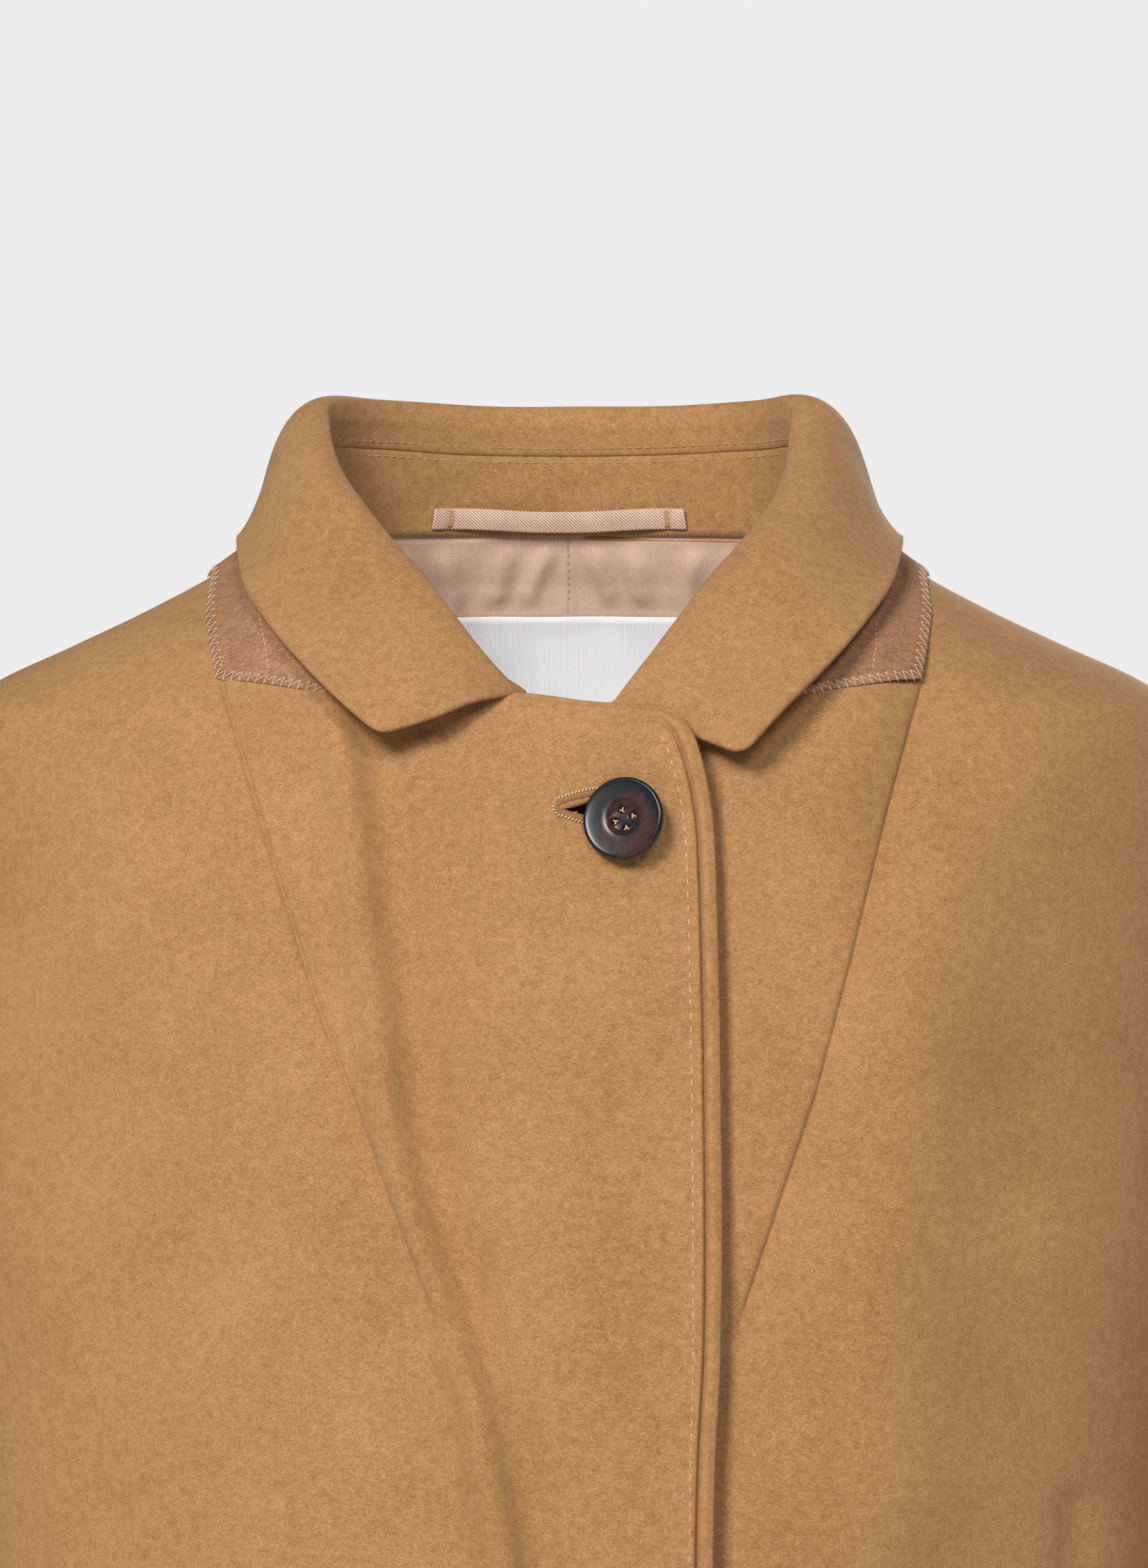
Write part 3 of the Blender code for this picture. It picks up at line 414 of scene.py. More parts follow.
@dataclass
class BodyForm:
    """Worn form that the body panels follow."""

    rings: Array = field(default_factory=lambda: np.asarray(RINGS))
    lap_raise: float = 3.8
    lap_corner_raise: float = 6.0
    lap_skirt_raise: float = 2.5
    # path, depth and width of each trough in the fronts
    troughs: tuple = ((DART_LEFT, 1.8, 7), (DART_RIGHT, 1.8, 7), (DRAPE_LEFT, 3, 22), (DRAPE_RIGHT, 3, 24),
                      (WAIST_LEFT, 1.8, 8), (WAIST_RIGHT, 1.8, 8))

    def ring(self, height: Array) -> list[Array]:
        """Half width, front depth, back depth and roundness at a height."""
        return [smooth(self.rings[:, 0], sizes, height) for sizes in self.rings.T[1:]]

    def point(self, turn: Array, height: Array) -> Array:
        """Point of the form.

        Args:
            turn: Degrees, 0 in front, 90 at the viewer's right and 180 behind.
            height: Height over the origin.

        Returns:
            Points, the last axis x, y and z.
        """
        turn = np.asarray(turn, dtype=float)
        height = np.asarray(height, dtype=float)
        wide, front, back, power = self.ring(height)
        sine = np.sin(np.radians(turn))
        cosine = np.cos(np.radians(turn))
        x = wide * np.sign(sine) * np.abs(sine) ** (2.0 / power)
        y = -np.where(cosine > 0.0, front, back) * np.sign(cosine) * np.abs(cosine) ** (2.0 / power)
        return np.stack([x, y, height + 0.0 * x], axis=-1)

    def normal(self, turn: Array, height: Array) -> Array:
        """Outward direction of the form.

        Args:
            turn: Degrees, 0 in front.
            height: Heights over the origin.

        Returns:
            Directions of length one.
        """
        along = self.point(np.asarray(turn) + 0.8, height) - self.point(np.asarray(turn) - 0.8, height)
        upward = self.point(turn, np.asarray(height) + 1.2) - self.point(turn, np.asarray(height) - 1.2)
        return unit(np.cross(along, upward))

    def turn_at(self, x: Array, height: Array) -> Array:
        """Turn of the point on the front half with this x.

        Args:
            x: Sideways places.
            height: Heights over the origin.

        Returns:
            Turns in degrees.
        """
        wide, _front, _back, power = self.ring(height)
        share = np.clip(np.abs(x) / wide, 0.0, 1.0) ** (power / 2.0)
        return np.sign(x) * np.degrees(np.arcsin(share))

    def skirt(self, turn: Array, height: Array) -> Array:
        """Height of the skirt's hanging folds over the form."""
        waves = 4.5 * np.cos(7.0 * np.radians(turn) + 0.6) + 2.5 * np.sin(4.0 * np.radians(turn) + 1.1)
        return step(-420.0, -1050.0, height) * waves

    def front(self, turn: Array, height: Array) -> Array:
        """Height of the front cloth over the form, without the lap.

        Args:
            turn: Degrees, 0 in front.
            height: Heights over the origin.

        Returns:
            Heights over the form.
        """
        x, _y, z = np.moveaxis(self.point(turn, height), -1, 0)
        form = self.skirt(turn, height)
        for path, depth, width in self.troughs:
            form += trough(path, x, z, depth, width)
        return form

    def lap(self, turn: Array, height: Array) -> Array:
        """Extra height of the lapping front where the other front and the collar lie under it.

        Args:
            turn: Degrees, 0 in front.
            height: Heights over the origin.

        Returns:
            Heights over the other front.
        """
        x, _y, z = np.moveaxis(self.point(turn, height), -1, 0)
        raised = (self.lap_raise + self.lap_skirt_raise * step(-180.0, -380.0, z)) * step(-50.0, -17.0, x)
        return raised + self.lap_corner_raise * step(-22.0, 24.0, x) * step(-118.0, -88.0, z)

    def cover(self, turn: Array, height: Array) -> Array:
        """Height of the outermost front cloth, which the collar and the felt lie on."""
        lap = np.where(np.asarray(turn) < 0.0, self.lap(turn, height), 0.0)
        return self.front(turn, height) + lap


@dataclass
class Sections:
    """Frames of sections round the neck, a row for each: places, directions and lengths."""

    roll: Array
    edge: Array
    bulge: Array
    base: Array
    base_normal: Array
    tangent: Array
    down: Array
    out: Array
    length: Array
    drop: Array

    def below(self, depth: Array, inset: Array | float) -> Array:
        """Points a depth below the roll, inset from the stand's own line."""
        return self.roll + self.down * depth[:, None] - self.out * np.reshape(inset, (-1, 1))


@dataclass
class NeckForm:
    """Sections round the neck, numbered from the viewer's left front end to the right front end."""

    body: BodyForm
    felt_split: int = 10
    inset: float = 4.2
    seam_drop: float = 18.0
    seam_drop_share: float = 0.42

    def __post_init__(self) -> None:
        """Joins the neckline and the felt's edge over both sides."""
        self.rows = np.asarray(COLLAR_ROWS)
        self.last = len(COLLAR_ROWS) - 1
        self.middle = self.last // 2
        front = [(float(self.body.turn_at(row[0], row[1])), row[1]) for row in NECK_FRONT_ROWS]
        self.neck = self.both_sides(front + [(row[0], row[1]) for row in NECK_BACK_ROWS])
        self.felt = self.both_sides(self.felt_half())

    def felt_half(self) -> list[tuple[float, float]]:
        """Turn and height along the felt's edge, from the front end to the centre back.

        Returns:
            Pairs of turn and height.
        """
        last = len(NECK_FRONT_ROWS) - 1
        rows = along_rows(NECK_FRONT_ROWS, np.linspace(0.0, last, self.felt_split * last + 1))
        edge = [(float(self.body.turn_at(row[2], row[3])), float(row[3])) for row in rows]
        behind = [edge[-1]] + [(row[2], row[3]) for row in NECK_BACK_ROWS]
        last = len(behind) - 1
        places = np.linspace(0.0, last, self.felt_split * last + 1)[1:]
        return edge + [tuple(row) for row in along_rows(behind, places)]

    def both_sides(self, half: list[tuple[float, float]]) -> Array:
        """Rows of turn and height over both sides from one half; turns run from 0 to -360.

        Args:
            half: Turn and height from the front end to the back.

        Returns:
            Rows of turn and height.
        """
        left = [(-turn, height) for turn, height in half]
        right = [(turn - 360.0, height) for turn, height in half[:-1]]
        return np.asarray(left + right[::-1])

    def surface(self, place: Array, lift: Array) -> Pair:
        """Points over the body's cloth and their outward directions.

        Args:
            place: Turn and height on the last axis.
            lift: Height over the cloth.

        Returns:
            Points and directions.
        """
        turn = np.where(place[..., 0] < -180.0, place[..., 0] + 360.0, place[..., 0])
        height = place[..., 1]
        covered = np.abs(turn) < 90.0
        cover = np.where(covered, self.body.cover(turn, height), self.body.skirt(turn, height))
        normal = self.body.normal(turn, height)
        return self.body.point(turn, height) + normal * (cover + lift)[..., None], normal

    def at(self, where: Array) -> Sections:
        """Frames of the sections at fractional numbers.

        Args:
            where: Fractional numbers of the sections.

        Returns:
            The frames.
        """
        where = np.asarray(where, dtype=float)
        table = spline(self.rows, where)
        base, base_normal = self.surface(spline(self.neck, where), np.zeros(len(where)))
        roll = table[:, 0:3]
        tangent = unit(spline(self.rows[:, 0:3], np.minimum(where + 0.12, self.last))
                       - spline(self.rows[:, 0:3], np.maximum(where - 0.12, 0.0)))
        down = unit(base - roll)
        length = np.linalg.norm(base - roll, axis=-1)
        drop = np.minimum(self.seam_drop, self.seam_drop_share * length)
        return Sections(roll, table[:, 3:6], table[:, 6], base, base_normal, tangent, down,
                        unit(np.cross(tangent, down)), length, drop)


@dataclass
class Surface:
    """One face of a cloth: points and quads, which thicken into a wall with rounded edges."""

    points: Array
    quads: Array

    @classmethod
    def grid(cls, points: Array, closed: bool = False) -> "Surface":
        """Face over a grid of points.

        Args:
            points: Rows, columns and xyz.
            closed: Whether the last column joins the first.

        Returns:
            The face.
        """
        rows, columns = points.shape[:2]
        number = np.arange(rows * columns).reshape(rows, columns)
        after = np.roll(number, -1, axis=1)
        if not closed:
            number = number[:, :-1]
            after = after[:, :-1]
        quads = np.stack([number[:-1], after[:-1], after[1:], number[1:]], axis=-1)
        return cls(points.reshape(-1, 3), quads.reshape(-1, 4))

    def joined(self, other: "Surface") -> tuple["Surface", Array]:
        """This face and another as one, with points that meet made one.

        Args:
            other: The other face.

        Returns:
            The joined face, and for each of its points its number in the two faces' own points.
        """
        points = np.concatenate([self.points, other.points])
        quads = np.concatenate([self.quads, other.quads + len(self.points)])
        keys = np.round(points * 1e4).astype(np.int64)
        _values, first, back = np.unique(keys, axis=0, return_index=True, return_inverse=True)
        return Surface(points[first], back.reshape(-1)[quads]), first

    def facing(self, way: Array) -> "Surface":
        """The same face, turned over if it looks away from a direction or a direction per point."""
        away = np.sum(self.normals() * np.reshape(way, (-1, 3))) < 0.0
        return Surface(self.points, self.quads[:, ::-1] if away else self.quads)

    def normals(self) -> Array:
        """Directions square to the face at its points.

        Returns:
            Directions of length one.
        """
        corner = self.points[self.quads]
        face = np.cross(corner[:, 2] - corner[:, 0], corner[:, 3] - corner[:, 1])
        total = np.zeros_like(self.points)
        for number in range(4):
            np.add.at(total, self.quads[:, number], face)
        return unit(total)

    def wall(self, thick: Array | float, swell: Array | float, rim: int = 3) -> tuple[Array, list]:
        """Closed wall with this as its outer face.

        Args:
            thick: Thickness of the wall, one for all or one for each point.
            swell: How far the edge rounds out, in thicknesses, one for all or one for each point.
            rim: Rows of points that round the edges.

        Returns:
            Points and faces.
        """
        count = len(self.points)
        normal = self.normals()
        thick = np.broadcast_to(np.ravel(thick), count)
        swell = np.broadcast_to(np.ravel(swell), count)
        inner = self.points - normal * thick[:, None]
        edges = np.concatenate([self.quads[:, [k, (k + 1) % 4]] for k in range(4)])
        key = np.sort(edges, axis=1)
        _pairs, back, times = np.unique(key, axis=0, return_inverse=True, return_counts=True)
        open_edge = times[back.reshape(-1)] == 1
        rim_edges = edges[open_edge]
        middle = self.points[np.tile(self.quads, (4, 1))[open_edge]].mean(axis=1)
        start = self.points[rim_edges[:, 0]]
        end = self.points[rim_edges[:, 1]]
        way = unit(end - start)
        out = 0.5 * (start + end) - middle
        out = unit(out - way * np.sum(out * way, axis=1, keepdims=True))
        outward = np.zeros_like(self.points)
        for column in range(2):
            np.add.at(outward, rim_edges[:, column], out)
        border = np.unique(rim_edges)
        outward = outward[border]
        rise = np.sum(outward * normal[border], axis=1, keepdims=True)
        outward = unit(outward - normal[border] * rise)
        layer = np.full(count, -1)
        layer[border] = np.arange(len(border))
        points = [self.points, inner]
        rings = [np.arange(count)]
        for number in range(rim):
            angle = math.pi * (number + 1) / (rim + 1)
            height = (-0.5 * thick[border] * (1.0 - math.cos(angle)))[:, None]
            push = (swell[border] * thick[border] * math.sin(angle))[:, None]
            points.append(self.points[border] + normal[border] * height + outward * push)
            rings.append(2 * count + number * len(border) + layer)
        rings.append(np.arange(count) + count)
        faces = [self.quads, self.quads[:, ::-1] + count]
        for upper, lower in zip(rings[:-1], rings[1:]):
            a = upper[rim_edges[:, 0]]
            b = upper[rim_edges[:, 1]]
            faces.append(np.stack([b, a, lower[rim_edges[:, 0]], lower[rim_edges[:, 1]]], axis=-1))
        return np.concatenate(points), np.concatenate(faces).tolist()


class ShadeTree:
    """Nodes of one material, read in the coat's own millimetres."""

    def __init__(self, name: str) -> None:
        """Starts a material with its shader.

        Args:
            name: Name of the material.
        """
        self.material = bpy.data.materials.new(name)
        self.material.use_nodes = True
        self.nodes = self.material.node_tree.nodes
        self.links = self.material.node_tree.links
        self.shader = self.nodes["Principled BSDF"]
        place = self.node("TexCoord").outputs["Object"]
        self.place = self.node("VectorMath", ("operation", "SCALE"), Vector=place, Scale=1.0 / MM).outputs[0]

    def node(self, kind: str, *options: tuple[str, str], **values: Plain | Socket) -> bpy.types.Node:
        """A node with its inputs linked or set; words in an input's name are parted by _.

        Args:
            kind: Kind of shader node.
            options: Name and choice of each option.
            values: Socket or plain value of each input.

        Returns:
            The node.
        """
        node = self.nodes.new("ShaderNode" + kind)
        for name, choice in options:
            setattr(node, name, choice)
        for name, value in values.items():
            self.fill(node.inputs[name.replace("_", " ")], value)
        return node

    def fill(self, socket: Socket, value: Plain | Socket) -> None:
        """Links an input, or sets it.

        Args:
            socket: The input.
            value: Socket or plain value.
        """
        if isinstance(value, Socket):
            self.links.new(value, socket)
        else:
            socket.default_value = value

    def constants(self, **values: float | tuple) -> None:
        """Sets the shader's plain values; words in a name are parted by _."""
        for name, value in values.items():
            self.shader.inputs[name.replace("_", " ")].default_value = value

    def shifted(self, centre: Sequence[float], turn: Sequence[float], stretch: Sequence[float]) -> Socket:
        """The place measured from a centre, turned and stretched.

        Args:
            centre: Millimetres.
            turn: Degrees round x, y and z.
            stretch: Factor along each axis after the turn.

        Returns:
            The vector's socket.
        """
        moved = self.math("SUBTRACT", self.place, centre, "VectorMath")
        spun = self.node("VectorRotate", ("rotation_type", "EULER_XYZ"), Vector=moved,
                         Rotation=[math.radians(angle) for angle in turn])
        return self.math("MULTIPLY", spun.outputs[0], stretch, "VectorMath")

    def noise(self, size: float, detail: float = 2.0, rough: float = 0.5,
              stretch: Sequence[float] = (1.0, 1.0, 1.0), turn: Sequence[float] = (0.0, 0.0, 0.0),
              warp: float = 0.0) -> Socket:
        """Uneven pattern.

        Args:
            size: Width of a patch, millimetres.
            detail: Finer layers.
            rough: Strength of the finer layers.
            stretch: Factor along each axis.
            turn: Degrees round each axis.
            warp: Distortion.

        Returns:
            The pattern's socket.
        """
        vector = self.shifted((0.0, 0.0, 0.0), turn, stretch)
        return self.node("TexNoise", Vector=vector, Scale=1.0 / size, Detail=detail, Roughness=rough,
                         Distortion=warp).outputs["Fac"]

    def bands(self, vector: Socket, pitch: float, warp: float = 0.0,
              warp_size: float = 1.0) -> Socket:
        """Soft bands along x of a vector.

        Args:
            vector: Place in millimetres.
            pitch: Width of a band.
            warp: Unevenness.
            warp_size: Fineness of the unevenness.

        Returns:
            The bands' socket.
        """
        return self.node("TexWave", ("wave_type", "BANDS"), ("bands_direction", "X"), ("wave_profile", "SIN"),
                         Vector=vector, Scale=math.pi / (10.0 * pitch), Distortion=warp, Detail=1.0,
                         Detail_Scale=warp_size).outputs["Fac"]

    def math(self, kind: str, first: Socket, second: Plain | Socket, node_kind: str = "Math") -> Socket:
        """Sum, product or other joining of two values or vectors.

        Args:
            kind: Name of the sum.
            first: First value.
            second: Second value.
            node_kind: Kind of shader node.

        Returns:
            Socket of the result.
        """
        node = self.node(node_kind, ("operation", kind))
        self.fill(node.inputs[0], first)
        self.fill(node.inputs[1], second)
        return node.outputs[0]

    def weighed(self, *parts: tuple[Socket, float]) -> Socket:
        """Sum of values, each times its weight.

        Args:
            parts: Pairs of value and weight.

        Returns:
            Socket of the sum.
        """
        total = self.math("MULTIPLY", *parts[0])
        for value, weight in parts[1:]:
            total = self.math("ADD", total, self.math("MULTIPLY", value, weight))
        return total

    def ramp(self, value: Socket, stops: Sequence[tuple[float, Sequence[float]]]) -> Socket:
        """Colours along a value.

        Args:
            value: Socket from 0 to 1.
            stops: Place and colour of each stop.

        Returns:
            The colour's socket.
        """
        node = self.node("ValToRGB", Fac=value)
        marks = node.color_ramp.elements
        for number, (place, colour) in enumerate(stops):
            mark = marks[number] if number < 2 else marks.new(place)
            mark.position = place
            mark.color = (*colour, 1.0)
        return node.outputs[0]

    def mix(self, share: Socket, low: Socket, high: Colour) -> Socket:
        """Colour between two colours.

        Args:
            share: 0 for the first, 1 for the second.
            low: First colour.
            high: Second colour, a plain one.

        Returns:
            The colour's socket.
        """
        node = self.node("Mix", ("data_type", "RGBA"))
        for number, value in ((0, share), (6, low), (7, (*high, 1.0))):
            self.fill(node.inputs[number], value)
        return node.outputs[2]

    def colour(self, socket: Socket) -> None:
        """Links the shader's colour."""
        self.links.new(socket, self.shader.inputs["Base Color"])

    def relief(self, height: Socket, strength: float, depth: float) -> None:
        """Fine relief of the finish, its depth in millimetres."""
        node = self.node("Bump", Strength=strength, Distance=depth * MM, Height=height)
        self.links.new(node.outputs[0], self.shader.inputs["Normal"])


@dataclass(frozen=True)
class WoolFinish:
    """Milled wool with a short flat nap of lighter and darker fibres."""

    name: str = "camel_wool"
    slot: Slot = Slot.WOOL
    dark: Colour = (0.235, 0.112, 0.038)
    base: Colour = (0.375, 0.192, 0.077)
    light: Colour = (0.520, 0.300, 0.140)
    nap: float = 0.34
    nap_depth: float = 0.35

    def material(self) -> bpy.types.Material:
        """Material of the cloth.

        Returns:
            The wool.
        """
        tree = ShadeTree(self.name)
        speck = tree.noise(self.nap, 3.0, 0.75)
        tuft = tree.noise(self.nap * 9.0, 2.0, 0.6)
        fibre = tree.noise(self.nap * 0.8, 2.0, 0.6, (1.0, 1.0, 0.2), (0.0, 62.0, 12.0), 0.9)
        cross = tree.noise(self.nap * 0.8, 2.0, 0.6, (0.2, 1.0, 1.0), (0.0, 18.0, 0.0), 0.9)
        cloud = tree.noise(45.0, 2.0, 0.5)
        fine = tree.weighed((speck, 0.40), (fibre, 0.25), (cross, 0.23), (tuft, 0.12))
        shade = tree.weighed((fine, 0.93), (cloud, 0.07))
        tree.colour(tree.ramp(shade, ((0.415, self.dark), (0.50, self.base), (0.585, self.light))))
        tree.relief(fine, 0.6, self.nap_depth)
        tree.constants(Roughness=0.95, Specular_IOR_Level=0.12, Sheen_Weight=0.22, Sheen_Roughness=0.55,
                       Sheen_Tint=(0.95, 0.72, 0.48, 1.0))
        return tree.material


@dataclass(frozen=True)
class SatinFinish:
    """Lining twill with fine slanting ribs and a soft shine."""

    name: str = "lining_satin"
    slot: Slot = Slot.SATIN
    dark: Colour = (0.40, 0.235, 0.155)
    base: Colour = (0.64, 0.43, 0.315)
    light: Colour = (0.82, 0.60, 0.47)
    rib: float = 0.66
    slant: float = 40.0
    rib_share: float = 0.34

    def material(self) -> bpy.types.Material:
        """Material of the cloth.

        Returns:
            The twill.
        """
        tree = ShadeTree(self.name)
        slanted = tree.shifted((0.0, 0.0, 0.0), (0.0, self.slant, 0.0), (1.0, 1.0, 1.0))
        ribs = tree.bands(slanted, self.rib, 1.2, 1.4)
        thread = tree.noise(0.9, 2.0, 0.5, (1.0, 1.0, 0.15))
        cloud = tree.noise(22.0, 2.0, 0.5)
        rest = 0.5 * (1.0 - self.rib_share)
        shade = tree.weighed((ribs, self.rib_share), (thread, rest), (cloud, rest))
        tree.colour(tree.ramp(shade, ((0.15, self.dark), (0.5, self.base), (0.85, self.light))))
        tree.relief(ribs, 0.35, 0.12)
        tree.constants(Roughness=0.48, Specular_IOR_Level=0.35, Sheen_Weight=0.15, Sheen_Roughness=0.4,
                       Anisotropic=0.35)
        return tree.material


@dataclass(frozen=True)
class LabelFinish:
    """White woven tape with fine upright ribs."""

    name: str = "woven_label"
    slot: Slot = Slot.LABEL
    dark: Colour = (0.66, 0.67, 0.72)
    light: Colour = (0.86, 0.87, 0.91)
    rib: float = 0.62

    def material(self) -> bpy.types.Material:
        """Material of the tape.

        Returns:
            The tape.
        """
        tree = ShadeTree(self.name)
        ribs = tree.bands(tree.place, self.rib, 0.3, 2.0)
        picks = tree.noise(0.5, 2.0, 0.6, (1.0, 1.0, 2.2))
        shade = tree.weighed((ribs, 0.6), (picks, 0.4))
        tree.colour(tree.ramp(shade, ((0.15, self.dark), (0.75, self.light))))
        tree.relief(ribs, 0.4, 0.12)
        tree.constants(Roughness=0.62, Specular_IOR_Level=0.3, Sheen_Weight=0.1)
        return tree.material


@dataclass(frozen=True)
class ThreadFinish:
    """Twisted sewing thread."""

    name: str = "sewing_thread"
    slot: Slot = Slot.WOOL
    dark: Colour = (0.36, 0.21, 0.10)
    light: Colour = (0.78, 0.56, 0.36)
    shine: float = 0.4

    def material(self) -> bpy.types.Material:
        """Material of the thread.

        Returns:
            The thread.
        """
        tree = ShadeTree(self.name)
        twist = tree.noise(0.35, 2.0, 0.6, (1.0, 1.0, 1.0), (0.0, 35.0, 0.0))
        tree.colour(tree.ramp(twist, ((0.32, self.dark), (0.62, self.light))))
        tree.relief(twist, 0.4, 0.08)
        tree.constants(Roughness=0.5, Specular_IOR_Level=self.shine, Sheen_Weight=0.1)
        return tree.material


@dataclass(frozen=True)
class HornFinish:
    """Polished dark horn, slate grey with red-brown marbling round the middle."""

    centre: tuple[float, float, float]
    name: str = "dark_horn"
    slot: Slot = Slot.HORN
    slate: Colour = (0.014, 0.015, 0.018)
    brown: Colour = (0.048, 0.021, 0.021)
    tan: Colour = (0.20, 0.095, 0.055)

    def material(self) -> bpy.types.Material:
        """Material of the button.

        Returns:
            The horn.
        """
        tree = ShadeTree(self.name)
        flat = tree.shifted(self.centre, (0.0, 0.0, 0.0), (1.0, 0.12, 0.86))
        reach = tree.node("VectorMath", ("operation", "LENGTH"), Vector=flat)
        marble = tree.noise(4.2, 4.0, 0.6, (1.0, 1.0, 0.55), (0.0, 24.0, 0.0), 1.4)
        veins = tree.noise(1.5, 4.0, 0.65, (1.0, 1.0, 0.28), (0.0, -16.0, 0.0), 2.2)
        ring = tree.weighed((reach.outputs["Value"], 0.055), (marble, 0.75))
        body = tree.ramp(ring, ((0.50, self.slate), (0.62, self.brown), (0.80, self.brown),
                                (0.95, self.slate)))
        streak = tree.ramp(veins, ((0.60, (0.0, 0.0, 0.0)), (0.72, (1.0, 1.0, 1.0))))
        inside = tree.ramp(ring, ((0.60, (1.0, 1.0, 1.0)), (0.90, (0.0, 0.0, 0.0))))
        share = tree.math("MULTIPLY", tree.math("MULTIPLY", streak, inside), 0.45)
        tree.colour(tree.mix(share, body, self.tan))
        tree.relief(veins, 0.12, 0.08)
        tree.constants(Roughness=0.20, Specular_IOR_Level=0.20)
        return tree.material


Finish = WoolFinish | SatinFinish | LabelFinish | ThreadFinish | HornFinish
CAMEL = WoolFinish()
FELT = WoolFinish("felt_under_collar", Slot.FELT, (0.185, 0.083, 0.040), (0.315, 0.157, 0.080),
                  (0.46, 0.250, 0.145), 0.6, 0.35)
SATIN = SatinFinish()
LOOP_SATIN = SatinFinish("loop_satin", dark=(0.17, 0.09, 0.052), base=(0.58, 0.38, 0.27), rib=0.85,
                         slant=48.0, rib_share=0.62)
TAPE = LabelFinish()
THREAD = ThreadFinish()
WOOL_THREAD = ThreadFinish("wool_thread", Slot.WOOL, (0.30, 0.165, 0.070), (0.62, 0.40, 0.225), 0.25)
LIP_THREAD = ThreadFinish("lip_thread", Slot.WOOL, (0.18, 0.085, 0.030), (0.42, 0.225, 0.095), 0.12)
PALE_THREAD = ThreadFinish("pale_thread", Slot.FELT, (0.40, 0.22, 0.13), (0.78, 0.55, 0.38))


@dataclass
class ThreadWork:
    """Many short threads joined in one mesh."""

    sides: int = 6
    paths: list = field(default_factory=list)

    def add(self, paths: Array, ups: Array, radius: float) -> None:
        """Adds threads by their paths, the outward direction at every point and half their thickness."""
        self.paths.append((paths, ups, radius))

    def mesh(self) -> tuple[Array, list]:
        """Points and faces of all the threads.

        Returns:
            Points and faces.
        """
        points = []
        faces = []
        count = 0
        for paths, ups, radius in self.paths:
            number, length = paths.shape[:2]
            way = unit(np.gradient(paths, axis=1))
            across = unit(np.cross(way, ups))
            up = np.cross(across, way)
            taper = np.full(length, radius)
            taper[[0, -1]] = 0.45 * radius
            angle = 2.0 * math.pi * np.arange(self.sides) / self.sides
            ring = (across[:, :, None] * np.cos(angle)[:, None] + up[:, :, None] * np.sin(angle)[:, None])
            tube = paths[:, :, None] + ring * taper[None, :, None, None]
            points.append(tube.reshape(-1, 3))
            index = count + np.arange(number * length * self.sides).reshape(number, length, self.sides)
            after = np.roll(index, -1, axis=2)
            quads = np.stack([index[:, :-1], index[:, 1:], after[:, 1:], after[:, :-1]], axis=-1)
            faces.extend(quads.reshape(-1, 4).tolist())
            faces.extend(index[:, 0].tolist())
            faces.extend(index[:, -1, ::-1].tolist())
            count += number * length * self.sides
        return np.concatenate(points), faces


def new_object(name: str, data: bpy.types.ID) -> Piece:
    """New object in the scene.

    Args:
        name: Name of the object.
        data: Its mesh, lamp or camera.

    Returns:
        The object.
    """
    made = bpy.data.objects.new(name, data)
    bpy.context.scene.collection.objects.link(made)
    return made


def evenly(points: Array, pitch: float) -> Array:
    """Places along a run of points, a pitch apart, as fractional numbers of the points."""
    length = passed(points)
    return np.interp(np.arange(0.0, length[-1], pitch), length, np.arange(len(points)))


def running(points: Array, ups: Array, pitch: float, stitch: float, rise: float) -> Pair:
    """Running stitches along a line on a cloth.

    Args:
        points: Line on the cloth's face.
        ups: Outward directions along it.
        pitch: Distance between stitches.
        stitch: Length of a stitch.
        rise: Height of a stitch's middle over the face.

    Returns:
        Paths of the stitches and their outward directions.
    """
    length = passed(points)
    starts = np.arange(0.3 * pitch, length[-1] - stitch, pitch)
    share = np.asarray([0.0, 0.18, 0.5, 0.82, 1.0])
    lift = np.asarray([-0.35, 0.75 * rise, rise, 0.75 * rise, -0.35])
    places = starts[:, None] + share * stitch
    up = unit(read_at(places, length, ups))
    return read_at(places, length, points) + up * lift[None, :, None], up


class Workshop:
    """Makes the objects and keeps one material per finish."""

    def __init__(self) -> None:
        """Starts with no materials."""
        self.materials: dict[str, bpy.types.Material] = {}

    def piece(self, name: str, points: Array, faces: list, finish: Finish,
              nodes: Sequence[str] = ()) -> Piece:
        """One object that rides on the coat.

        Args:
            name: Name of the piece.
            points: Millimetres.
            faces: Faces by point number.
            finish: Finish of the piece.
            nodes: Solids that it stands for.

        Returns:
            The object.
        """
        mesh = bpy.data.meshes.new(name)
        mesh.from_pydata((np.asarray(points) * MM).tolist(), [], faces)
        mesh.polygons.foreach_set("use_smooth", [True] * len(mesh.polygons))
        mesh.update()
        if finish.name not in self.materials:
            self.materials[finish.name] = finish.material()
        mesh.materials.append(self.materials[finish.name])
        made = new_object(name, mesh)
        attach(made, "root")
        if nodes:
            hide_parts(*nodes)
        area = 0.5 * sum(face.area for face in mesh.polygons)
        log.info("%s: %d faces, %.4f m2 a side", name, len(faces), area)
        return made

    def threads(self, name: str, work: ThreadWork, finish: Finish) -> Piece:
        """One object of many threads."""
        points, faces = work.mesh()
        return self.piece(name, points, faces, finish)

    def cloth(self, node: str, stuff: str, face: Surface, finish: Finish, wall: Array | float,
              swell: Array | float, rim: int = 3) -> Piece:
        """One cloth, thickened from its face and named for the solid that it stands for and its stuff."""
        points, faces = face.wall(wall, swell, rim)
        return self.piece(node + "_" + stuff, points, faces, finish, [node])


@dataclass(frozen=True)
class Cut:
    """Flat cut of one cloth: width and length of its blank, and its area, metres."""

    width: float
    length: float
    area: float
    held: Held = Held.HUNG
    rests_on: tuple[str, ...] = ()

    def declare(self, cloth: Piece, sewing: Sequence[Piece] = ()) -> None:
        """Does nothing; the cut stays only in its own fields."""


